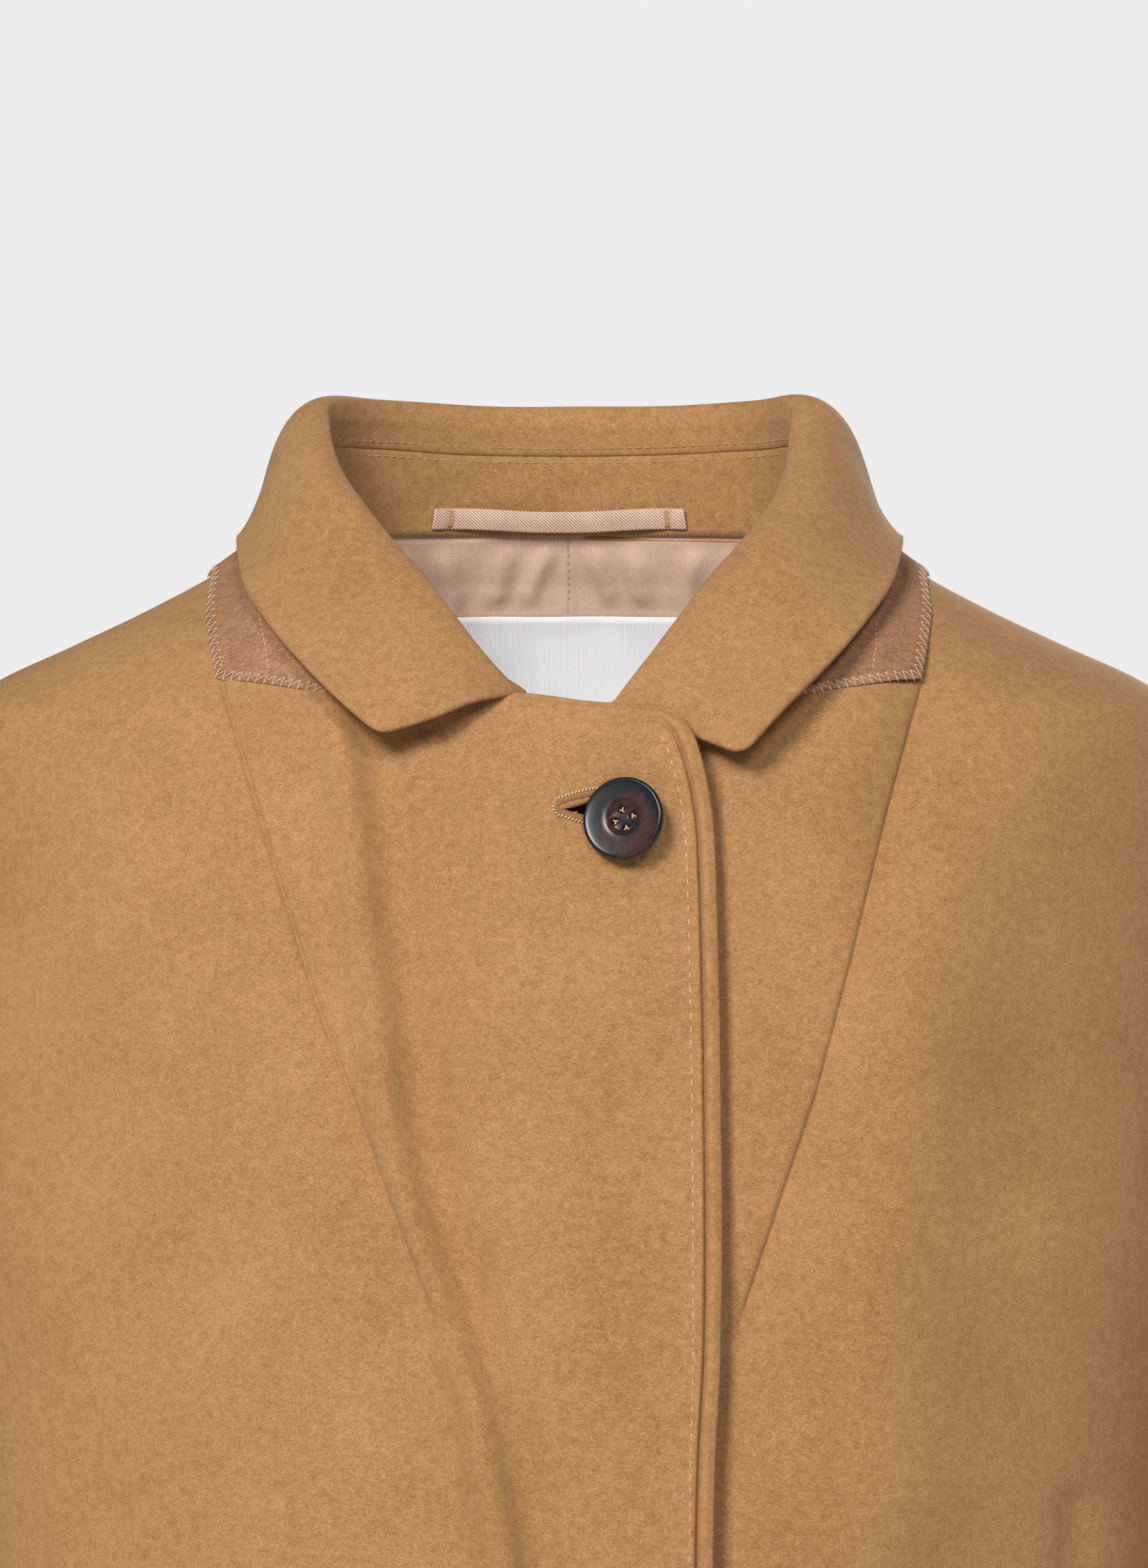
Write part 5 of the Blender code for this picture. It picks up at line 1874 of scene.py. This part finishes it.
@dataclass
class Stand:
    """Inner band between the stand seam and the lining, with a row of stitches on either side of the seam."""

    neck: NeckForm
    cut: Cut
    wall: float = 2.4
    gap: float = 0.12
    start: float = 2.2
    sections: int = 260
    lines: int = 16
    stitch_above: float = 3.0
    stitch_below: float = 2.2
    stitch_pitch: float = 3.4
    stitch_length: float = 2.3
    stitch_radius: float = 0.2

    def reach(self, where: Array) -> tuple[Sections, Array, Array]:
        """Frames of the sections and the band's upper and lower edge below the roll.

        Args:
            where: Fractional numbers of the sections.

        Returns:
            Frames, and the depths of the upper and the lower edge.
        """
        at = self.neck.at(where)
        away = np.abs(where - self.neck.middle)
        end = at.length - 0.8 - 1.8 * step(2.2, 4.0, away) - 1.4 * step(4.5, 6.0, away)
        return at, at.drop + self.gap, end

    def make(self, shop: Workshop) -> None:
        """The band and its stitches.

        Args:
            shop: Where the piece is made.
        """
        where = np.linspace(self.start, self.neck.last - self.start, self.sections)
        at, top, end = self.reach(where)
        lines = []
        for t in np.linspace(0.0, 1.0, self.lines) ** 1.4:
            depth = between(top, end, t)
            dip = 0.6 * max(0.0, 1.0 - 11.0 * t) ** 2
            inset = self.neck.inset + 0.25 * np.sin(where * 5.0 + 9.0 * t) * math.sin(math.pi * t) - dip
            lines.append(at.below(depth, inset))
        face = np.asarray(lines).transpose(1, 0, 2)
        surface = Surface.grid(face).facing(-np.repeat(at.out, self.lines, axis=0))
        swell = np.full(face.shape[:2], 0.12)
        swell[:, -1] = 0.0
        band = shop.cloth("collar_stand", "cloth", surface, CAMEL, self.wall, swell)
        work = ThreadWork()
        for depth in (at.drop - self.stitch_above, top + self.stitch_below):
            line = at.below(depth, self.neck.inset)
            row = running(line, -at.out, self.stitch_pitch, self.stitch_length, 0.1)
            work.add(*row, self.stitch_radius)
        sewing = shop.threads("stand_stitches", work, WOOL_THREAD)
        self.cut.declare(band, [sewing])


@dataclass
class Undercollar:
    """Felt under the collar: a flange on the body, sewn down with a zigzag, and the stand's outer side."""

    neck: NeckForm
    cut: Cut
    wall: float = 1.4
    edge_wall: float = 0.35
    clear: float = 0.4
    flange_clear: float = 0.3
    start: float = 2.2
    sections: int = 300
    zigzag_wide: float = 4.6
    zigzag_pitch: float = 3.0
    thread_radius: float = 0.19
    # x, height along the straight stitch lines by the fronts
    stays: tuple = (((-107.5, -45), (-105.5, -54), (-103.5, -64.5)),
                    ((107, -47.5), (106.5, -56), (105.5, -63.5)))

    def thick(self, share: Array | float) -> Array:
        """Thickness of the flange at a share of its width, pressed thin at the edge."""
        return self.edge_wall + (self.wall - self.edge_wall) * step(0.0, 0.3, share)

    def lift(self, where: Array, share: Array | float) -> Array:
        """Height of the flange's face over the cloth."""
        behind = 1.0 - step(3.0, 4.5, np.abs(where - self.neck.middle))
        return self.flange_clear + self.thick(share) + 1.4 * behind

    def flange(self, where: Array, inside: Array) -> Pair:
        """Point and direction on the flange, a distance in from its edge.

        Args:
            where: Fractional numbers of the sections.
            inside: Distance in from the felt's edge.

        Returns:
            Points and directions.
        """
        edge = along_rows(self.neck.felt, self.neck.felt_split * where)
        neckline = spline(self.neck.neck, where)
        far, _normal = self.neck.surface(neckline, self.lift(where, 1.0))
        near, _normal = self.neck.surface(edge, self.lift(where, 0.0))
        share = np.clip(inside / np.maximum(np.linalg.norm(far - near, axis=-1), 1.0), 0.0, 1.0)
        return self.neck.surface(edge + (neckline - edge) * share[..., None], self.lift(where, share))

    def make(self, shop: Workshop) -> None:
        """The felt and its stitches.

        Args:
            shop: Where the piece is made.
        """
        where = np.linspace(self.start, self.neck.last - self.start, self.sections)
        at = self.neck.at(where)
        edge_place = along_rows(self.neck.felt, self.neck.felt_split * where)
        neck_place = spline(self.neck.neck, where)
        behind = 1.0 - step(3.0, 4.5, np.abs(where - self.neck.middle))
        lines = []
        across = np.linspace(0.0, 0.75, 10)
        for t in across:
            lines.append(self.neck.surface(between(edge_place, neck_place, t), self.lift(where, t))[0])
        corner_way = unit(at.base_normal + at.out)
        lines.append(at.base + corner_way * (self.clear + self.wall + 0.8 + 1.4 * behind)[:, None])
        for t in np.linspace(0.2, 1.0, 9):
            depth = between(at.length - 5.0, np.minimum(8.0, 0.4 * at.length), t)
            lines.append(at.below(depth, -self.clear - self.wall))
        face = np.asarray(lines).transpose(1, 0, 2)
        surface = Surface.grid(face).facing(np.repeat(at.out, face.shape[1], axis=0))
        thick = np.full(face.shape[:2], self.wall)
        thick[:, :len(across)] = self.thick(across)
        felt = shop.cloth("undercollar", "felt", surface, FELT, thick, 0.3)
        walls = surface.wall(thick, 0.3)
        sewing = self.zigzag(shop, BVHTree.FromPolygons(walls[0].tolist(), walls[1]))
        self.cut.declare(felt, [sewing])

    def zigzag(self, shop: Workshop, felt: BVHTree) -> Piece:
        """Zigzag over the felt's edge, and the straight stitches of the front ends.

        Args:
            shop: Where the piece is made.
            felt: The felt, for laying stitches on.

        Returns:
            The stitches.
        """
        fine = np.linspace(self.start, self.neck.last - self.start, 4000)
        edge, _normal = self.flange(fine, np.zeros(len(fine)))
        # wider apart where the edge runs back over the shoulder
        places = evenly(edge * (1.0, 0.4, 1.0), 0.5 * self.zigzag_pitch)
        where = np.interp(places, np.arange(len(fine)), fine)
        inner, inner_up = self.flange(where, np.full(len(where), self.zigzag_wide - 0.6))
        outer, outer_up = self.flange(where, np.zeros(len(where)))
        odd = (np.arange(len(where)) % 2)[:, None]
        corner = np.where(odd == 1, inner, outer)
        up = np.where(odd == 1, inner_up, outer_up)
        over_edge = np.where(odd == 1, 0.0, unit(outer - inner) * 0.9 - outer_up * 0.9)
        share = np.asarray([0.0, 0.12, 0.5, 0.88, 1.0])[None, :, None]
        path = between(corner[:-1, None], corner[1:, None], share)
        ups = unit(between(up[:-1, None], up[1:, None], share))
        path = path + ups * np.asarray([0.10, 0.34, 0.46, 0.34, 0.10])[None, :, None]
        path[:, 0] += over_edge[:-1]
        path[:, -1] += over_edge[1:]
        work = ThreadWork()
        work.add(path, ups, self.thread_radius)
        for line in self.stays:
            x, height = along_rows(line, np.linspace(0.0, 2.0, 60)).T
            place = np.stack([self.neck.body.turn_at(x, height), height], axis=-1)
            above, ways = self.neck.surface(place, np.full(len(x), 15.0))
            laid = np.asarray([felt.ray_cast(start.tolist(), (-way).tolist())[0]
                               for start, way in zip(above, ways)])
            work.add(*running(laid, ways, 2.6, 1.6, 0.15), 0.22)
        return shop.threads("felt_zigzag", work, PALE_THREAD)


@dataclass
class Lining:
    """One half of the back lining, hung from the stand; the halves meet at the centre back."""

    neck: NeckForm
    side: Side
    cut: Cut
    wall: float = 0.8
    bottom: float = -290.0
    neck_side: float = -15.5
    neck_back: float = -10.0
    depth: float = 7.0
    top_depth: float = 2.9
    seam_gap: float = 0.03
    label_top: float = -36.0
    rows: int = 150
    columns: int = 90
    # height, turn of the outer edge
    edge: tuple = ((-290, 103), (-230, 114), (-172, 118), (-110, 115), (-60, 111), (-15.5, 107))
    # x, height along soft creases, then depth and width
    creases: tuple = (
        (((9, -14), (15, -26), (17, -45)), 2, 3.6),
        (((24, -13), (27, -26), (34, -52)), 2.2, 4.6),
        (((47, -15), (44, -30), (47, -52)), 2.4, 4.6),
        (((62, -15), (60, -30), (72, -48)), 1.8, 4.5),
        (((60, -60), (90, -100), (120, -150)), 1.2, 8),
        (((20, -110), (26, -180), (24, -285)), 1.2, 8),
        (((70, -150), (76, -220), (72, -285)), 1.4, 9),
        (((120, -190), (126, -240), (124, -285)), 1.2, 8),
    )

    def face(self) -> Array:
        """Visible face: rows down from the stand by columns out from the centre back.

        Returns:
            Rows by columns of points.
        """
        body = self.neck.body
        edge = np.asarray(self.edge)
        share = np.linspace(0.0, 1.0, self.columns)
        lines = []
        for t in np.linspace(0.0, 1.0, self.rows) ** 1.6:
            outer = smooth(edge[:, 0], edge[:, 1], between(self.neck_side, self.bottom, t))
            turn = 180.0 - share * (180.0 - outer)
            rise = self.neck_back + (self.neck_side - self.neck_back) * ((180.0 - turn) / 90.0) ** 2
            height = between(rise, self.bottom, t)
            depth = self.top_depth + (self.depth - self.top_depth) * step(0.0, 0.10, t)
            point = body.point(self.side.value * turn, height)
            x = np.abs(point[:, 0])
            uneven = 0.25 * ripples(x, height, 18.0, 6.0 + self.side.value)
            for path, deep, wide in self.creases:
                uneven += trough(path, x, height, -deep, wide)
            under_label = step(46.0, 40.0, x) * step(-26.0, -34.0, height) * step(-88.0, -80.0, height)
            uneven = uneven * step(0.0, 0.03, t) * step(0.0, 6.0, x) * (1.0 - under_label)
            uneven += 0.9 * np.exp(-(x / 1.6) ** 2) * step(0.0, 0.04, t)
            lines.append(point - body.normal(self.side.value * turn, height) * (depth + uneven)[:, None])
        face = np.asarray(lines)
        turn = 180.0 - share * (180.0 - edge[-1, 1])
        middle = self.neck.middle
        place = np.interp(180.0 - turn, 180.0 + self.neck.neck[middle::-1, 0], np.arange(middle, -1, -1))
        place = place if self.side is Side.RIGHT else self.neck.last - place
        at = self.neck.at(place)
        for row, (tuck, behind) in enumerate(((7.0, 2.9), (3.6, 2.6), (0.0, 1.6))):
            face[row] = at.base - at.down * tuck - at.out * (self.neck.inset - behind)
        face[:, 0, 0] = self.seam_gap * self.side.value
        return face

    def make(self, shop: Workshop) -> None:
        """The half, and on the left one the stitches of the seam.

        Args:
            shop: Where the piece is made.
        """
        face = self.face()
        surface = Surface.grid(face).facing(FRONTWARD)
        name = "lining_back_" + self.side.name.lower()
        half = shop.cloth(name, "satin", surface, SATIN, self.wall, 0.02, 1)
        sewing = []
        if self.side is Side.LEFT:
            seam = face[4:, 0] - np.asarray([self.seam_gap, 0.0, 0.0])
            seam = seam[seam[:, 2] > self.label_top]
            ups = np.broadcast_to(FRONTWARD, seam.shape)
            work = ThreadWork()
            work.add(*running(seam, ups, 3.0, 1.9, 0.2), 0.16)
            sewing.append(shop.threads("lining_seam_stitches", work, THREAD))
        self.cut.declare(half, sewing)

    def inside(self, x: Array, height: Array, lift: float) -> Pair:
        """Point on the lining's plain face, moved into the coat, and the way into the coat.

        Args:
            x: Sideways places.
            height: Heights over the origin.
            lift: Height over the face.

        Returns:
            Points and directions.
        """
        body = self.neck.body
        turn = np.where(x >= 0.0, 180.0, -180.0) - body.turn_at(x, height)
        normal = body.normal(turn, height)
        return body.point(turn, height) - normal * (self.depth + lift), -normal


@dataclass
class HangerLoop:
    """Band of lining twill across the stand's lower edge, barred down at its ends."""

    neck: NeckForm
    cut: Cut
    span: tuple[float, float] = (-50.0, 43.0)
    tall: float = 7.2
    rise: float = 7.2
    wall: float = 1.2
    bow: float = 2.6
    bars: tuple[float, float] = (-44.0, 36.5)
    sections: int = 120
    lines: int = 15

    def band(self, x: Array, share: Array | float) -> Pair:
        """Point on the band's face at an x and a share of its height, and the way into the coat.

        Args:
            x: Sideways places.
            share: Share of the way down the band.

        Returns:
            Points and directions.
        """
        fine = np.linspace(8.0, 12.0, 161)
        at = self.neck.at(fine)
        across = at.below(at.length - self.rise, self.neck.inset)
        at = self.neck.at(np.interp(x, across[:, 0], fine))
        middle = 0.5 * (self.span[0] + self.span[1])
        half = 0.5 * (self.span[1] - self.span[0])
        loose = np.clip(1.0 - np.abs(x - middle) / half, 0.0, 1.0)
        bow = self.bow * step(0.10, 0.55, loose)
        low = self.tall * share - 1.2 * step(0.2, 0.9, loose)
        crown = 0.5 * np.cos(math.pi * np.asarray(share)) - 0.25
        press = 0.5 * sum(np.exp(-((x - bar) / 1.6) ** 2) for bar in self.bars)
        inset = self.neck.inset + 1.7 + bow + crown - press
        return at.below(at.length - self.rise - low, inset), -at.out

    def make(self, shop: Workshop) -> None:
        """The band and its bars.

        Args:
            shop: Where the piece is made.
        """
        x = np.linspace(self.span[0], self.span[1], self.sections)
        face = np.asarray([self.band(x, share)[0] for share in np.linspace(-0.5, 0.5, self.lines)])
        surface = Surface.grid(face).facing(FRONTWARD)
        loop = shop.cloth("hanger_loop", "satin", surface, LOOP_SATIN, self.wall, 0.4)
        work = ThreadWork()
        for bar in self.bars:
            share = np.linspace(-0.46, 0.46, 7)
            for shift in np.linspace(-0.7, 0.7, 4):
                made = [self.band(np.asarray([bar + shift]), s) for s in share]
                path = np.asarray([point[0] for point, _way in made])[None]
                ups = np.asarray([way[0] for _point, way in made])[None]
                work.add(path + ups * 0.25, ups, 0.25)
        sewing = shop.threads("loop_bars", work, WOOL_THREAD)
        self.cut.declare(loop, [sewing])


@dataclass
class Label:
    """Bare ribbed tape on the lining."""

    lining: Lining
    cut: Cut
    box: tuple[float, float, float, float] = (-43.0, 42.0, -79.0, -35.2)
    wall: float = 0.4
    rib: float = 0.62
    rib_depth: float = 0.05

    def make(self, shop: Workshop) -> None:
        """The tape.

        Args:
            shop: Where the piece is made.
        """
        left, right, low, high = self.box
        count = int(round((right - left) / self.rib)) * 4 + 1
        x = np.linspace(left, right, count)[None, :] + np.zeros((16, 1))
        z = np.linspace(low, high, 16)[:, None] + 0.0 * x
        point, way = self.lining.inside(x, z, 1.3)
        ribs = self.rib_depth * np.cos(2.0 * math.pi * (x - left) / self.rib)
        swell = 0.35 * ripples(x, z, 22.0, 2.0)
        face = point + way * (ribs + swell)[..., None]
        surface = Surface.grid(face).facing(FRONTWARD)
        self.cut.declare(shop.cloth("label", "tape", surface, TAPE, self.wall, 0.2, 1))


@dataclass
class Button:
    """Round horn button with a raised rim, a dished middle, four holes and the thread in them."""

    front: FrontPanel
    centre: tuple[float, float] = (19.5, -115.8)
    radius: float = 14.3
    thick: float = 4.2
    turn: float = 21.0
    back_radius: float = 11.0
    lift: float = 0.3
    hole_circle: float = 3.4
    hole_radius: float = 1.2
    hole_turn: float = 18.0
    sides: int = 128

    def seat(self) -> tuple[Array, Array, Array, Array]:
        """Middle of the button's back, and its ways right, up and out.

        Returns:
            Middle and the three axes.
        """
        body = self.front.body
        x, z = (np.asarray([value]) for value in self.centre)
        turn = body.turn_at(x, z)
        face = body.normal(turn, z)[0]
        point = body.point(turn, z)[0] + face * (body.front(turn, z) + body.lap(turn, z))[0]
        yaw = math.radians(self.turn)
        upright = np.asarray([0.0, 0.0, 1.0])
        outward = face * math.cos(yaw) - unit(np.cross(upright, face)) * math.sin(yaw)
        right = unit(np.cross(upright, outward))
        middle = point + face * (self.lift + 0.7 * self.back_radius * math.sin(yaw))
        return middle, right, np.cross(outward, right), outward

    def placed(self, points: Array) -> Array:
        """Points of the button set on the front."""
        middle, right, upward, outward = self.seat()
        return middle + points[..., 0:1] * right + points[..., 1:2] * upward + points[..., 2:3] * outward

    def profile(self) -> Array:
        """Radius and height from the middle of the face round to the middle of the back.

        Returns:
            Radius and height of each point.
        """
        edge = self.radius
        top = self.thick
        marks = np.asarray([
            (0, 2.65), (2.2, 2.65), (4.3, 2.8), (5.2, 3.25), (5.8, 3.72), (7, 3.92), (9, 3.96), (10.6, 4),
            (11.6, 4.04), (12.6, 4.1), (13.3, top), (13.9, top - 0.18), (edge, top - 0.7), (edge, 2.2),
            (edge - 0.4, 1.2), (edge - 1.5, 0.4), (self.back_radius, 0), (6, 0), (0, 0)])
        fine = spline(marks, np.linspace(0.0, len(marks) - 1.0, 3 * len(marks)))
        fine[:, 0] = np.clip(fine[:, 0], 0.0, edge)
        fine[:, 1] = np.clip(fine[:, 1], 0.0, top)
        return fine[1:-1]

    def hole_middles(self) -> Array:
        """Middles of the four holes."""
        angle = np.radians(self.hole_turn + 90.0 * np.arange(4))
        return self.hole_circle * np.stack([np.cos(angle), np.sin(angle)], axis=-1)

    def turned(self, profile: Array, sides: int) -> tuple[Array, list]:
        """Closed round body over a profile.

        Args:
            profile: Radius and height.
            sides: Points round.

        Returns:
            Points and faces.
        """
        angle = 2.0 * math.pi * np.arange(sides) / sides
        ring = np.stack([np.cos(angle), np.sin(angle), np.zeros(sides)], axis=-1)
        rise = np.asarray([0.0, 0.0, 1.0])
        points = np.concatenate([ring * row[0] + rise * row[1] for row in profile])
        faces = Surface.grid(points.reshape(len(profile), sides, 3), closed=True).quads[:, ::-1].tolist()
        faces.append(list(range(sides)))
        faces.append(list(range(len(points) - sides, len(points)))[::-1])
        return points, faces

    def make(self, shop: Workshop) -> None:
        """The button and its thread.

        Args:
            shop: Where the piece is made.
        """
        middle = self.seat()[0]
        points, faces = self.turned(self.profile(), self.sides)
        finish = HornFinish((float(middle[0]) + 0.6, float(middle[1]), float(middle[2]) - 2.2))
        button = shop.piece("button_horn", self.placed(points), faces, finish, ["button"])
        flare = np.asarray([(1.75, 6.0), (1.75, 2.75), (1.45, 2.45), (self.hole_radius, 2.1),
                            (self.hole_radius, -2.0)])
        for spot in self.hole_middles():
            hole, hole_faces = self.turned(flare, 24)
            self.bore(button, self.placed(hole + np.asarray([spot[0], spot[1], 0.0])), hole_faces)
        self.threads(shop)

    def bore(self, button: Piece, points: Array, faces: list) -> None:
        """Cuts one hole.

        Args:
            button: The turned button.
            points: Points, millimetres.
            faces: Faces of the mesh.
        """
        mesh = bpy.data.meshes.new("bore")
        mesh.from_pydata((points * MM).tolist(), [], faces)
        tool = new_object("bore", mesh)
        change = button.modifiers.new("bore", "BOOLEAN")
        change.operation = "DIFFERENCE"
        change.solver = "EXACT"
        change.object = tool
        graph = bpy.context.evaluated_depsgraph_get()
        result = bpy.data.meshes.new_from_object(button.evaluated_get(graph))
        button.modifiers.clear()
        bpy.data.objects.remove(tool)
        button.data = result

    def threads(self, shop: Workshop) -> None:
        """Thread down the four holes and across the button's back.

        Args:
            shop: Where the piece is made.
        """
        work = ThreadWork()
        spots = self.hole_middles()
        for number, spot in enumerate(spots):
            for strand in range(3):
                angle = 2.1 * strand + 1.3 * number
                x = spot[0] + 0.72 * math.cos(angle)
                y = spot[1] + 0.72 * math.sin(angle)
                inner = 0.55 * spot
                path = np.asarray([(inner[0], inner[1], -0.5), (x, y, 0.3), (x, y, 1.2),
                                   (x * 0.97, y * 0.97, 1.8), (spot[0] * 0.86, spot[1] * 0.86, 1.9)])
                ups = np.broadcast_to(self.seat()[1], path.shape)
                work.add(self.placed(path)[None], ups[None], 0.36)
        shop.threads("button_thread", work, THREAD)


@dataclass
class Studio:
    """Pale floor, soft light and the camera."""

    floor_height: float = -1.42
    floor_half: float = 6.0
    paper: Colour = (0.80, 0.80, 0.80)
    backdrop: Colour = (0.847, 0.847, 0.847)
    ambient: float = 0.05
    eye: tuple[float, float, float] = (0.0019, -2.21, -0.1019)
    lens: float = 36.0 * 2100.0 / (2257.0 / 4.2)

    def floor(self) -> None:
        """Wide pale floor."""
        half = self.floor_half
        mesh = bpy.data.meshes.new("studio_floor")
        corners = [(-half, -half), (half, -half), (half, half), (-half, half)]
        mesh.from_pydata([(x, y, self.floor_height) for x, y in corners], [], [(0, 1, 2, 3)])
        tree = ShadeTree("studio_paper")
        tone = tree.noise(120.0, 2.0, 0.5)
        dim = tuple(0.97 * value for value in self.paper)
        tree.colour(tree.ramp(tone, ((0.3, dim), (0.7, self.paper))))
        tree.constants(Roughness=0.9)
        mesh.materials.append(tree.material)
        new_object("studio_floor", mesh)

    def lamp(self, name: str, place: tuple, target: tuple, size: float, power: float, warm: tuple) -> None:
        """One soft square light.

        Args:
            name: Name of the lamp.
            place: Where it stands, metres.
            target: What it shines on, metres.
            size: Width of the lamp.
            power: Watts.
            warm: Colour of the light.
        """
        light = bpy.data.lights.new(name, "AREA")
        light.size = size
        light.energy = power
        light.color = warm
        made = new_object(name, light)
        made.location = place
        way = np.asarray(target) - np.asarray(place)
        flat = math.hypot(way[0], way[1])
        made.rotation_euler = (math.atan2(flat, -way[2]), 0.0, math.atan2(-way[0], way[1]))

    def surround(self) -> None:
        """Pale surround behind the coat that gives a dim light."""
        world = bpy.data.worlds.new("studio")
        world.use_nodes = True
        nodes = world.node_tree.nodes
        links = world.node_tree.links
        dim = nodes["Background"]
        dim.inputs["Color"].default_value = (*self.backdrop, 1.0)
        dim.inputs["Strength"].default_value = self.ambient
        pale = nodes.new("ShaderNodeBackground")
        pale.inputs["Color"].default_value = (*self.backdrop, 1.0)
        path = nodes.new("ShaderNodeLightPath")
        mix = nodes.new("ShaderNodeMixShader")
        links.new(path.outputs["Is Camera Ray"], mix.inputs[0])
        links.new(dim.outputs[0], mix.inputs[1])
        links.new(pale.outputs[0], mix.inputs[2])
        links.new(mix.outputs[0], nodes["World Output"].inputs["Surface"])
        bpy.context.scene.world = world

    def make(self) -> None:
        """Sets the studio up."""
        self.floor()
        self.surround()
        chest = (0.0, 0.0, -0.15)
        warm = (1.0, 0.985, 0.96)
        self.lamp("key_light", (-1.8, -3.9, 2.4), chest, 1.4, 236.0, warm)
        self.lamp("fill_light", (1.1, -4.1, 2.4), chest, 1.2, 81.0, warm)
        self.lamp("neck_light", (0.0, -0.04, -0.15), (0.0, 0.09, -0.045), 0.12, 0.07, (1.0, 1.0, 1.0))
        self.lamp("back_light", (1.9, 4.0, 0.4), (0.0, 0.0, -0.5), 2.0, 190.0, warm)
        camera = bpy.data.cameras.new("camera")
        camera.lens = self.lens
        made = new_object("camera", camera)
        made.location = self.eye
        made.rotation_euler = (0.5 * math.pi, 0.0, 0.0)
        bpy.context.scene.camera = made
        bpy.context.scene.view_settings.view_transform = "Standard"


def main() -> None:
    """Builds the coat piece by piece."""
    logging.basicConfig(level=logging.INFO, format="%(message)s")
    Studio().make()
    shop = Workshop()
    body = BodyForm()
    neck = NeckForm(body)
    front = FrontPanel(body, Side.RIGHT, Cut(0.42, 1.06, 0.36, rests_on=("front_left_cloth",)))
    front.make(shop)
    FrontPanel(body, Side.LEFT, Cut(0.36, 1.06, 0.32)).make(shop)
    BackPanel(body, Cut(0.62, 1.07, 0.57)).make(shop)
    Sleeve(body, Side.RIGHT, Cut(0.44, 0.63, 0.19)).make(shop)
    Sleeve(body, Side.LEFT, Cut(0.44, 0.63, 0.19)).make(shop)
    Collar(neck, Cut(0.62, 0.09, 0.05, Held.FOLDED, ("undercollar_felt",))).make(shop)
    Stand(neck, Cut(0.5, 0.04, 0.015, Held.FOLDED)).make(shop)
    Undercollar(neck, Cut(0.6, 0.06, 0.03, Held.FOLDED)).make(shop)
    right = Lining(neck, Side.RIGHT, Cut(0.25, 0.28, 0.06))
    right.make(shop)
    Lining(neck, Side.LEFT, Cut(0.25, 0.28, 0.06)).make(shop)
    HangerLoop(neck, Cut(0.095, 0.012, 0.00112)).make(shop)
    Label(right, Cut(0.087, 0.045, 0.0038, Held.LAID)).make(shop)
    Button(front).make(shop)


if __name__ == "__main__":
    main()
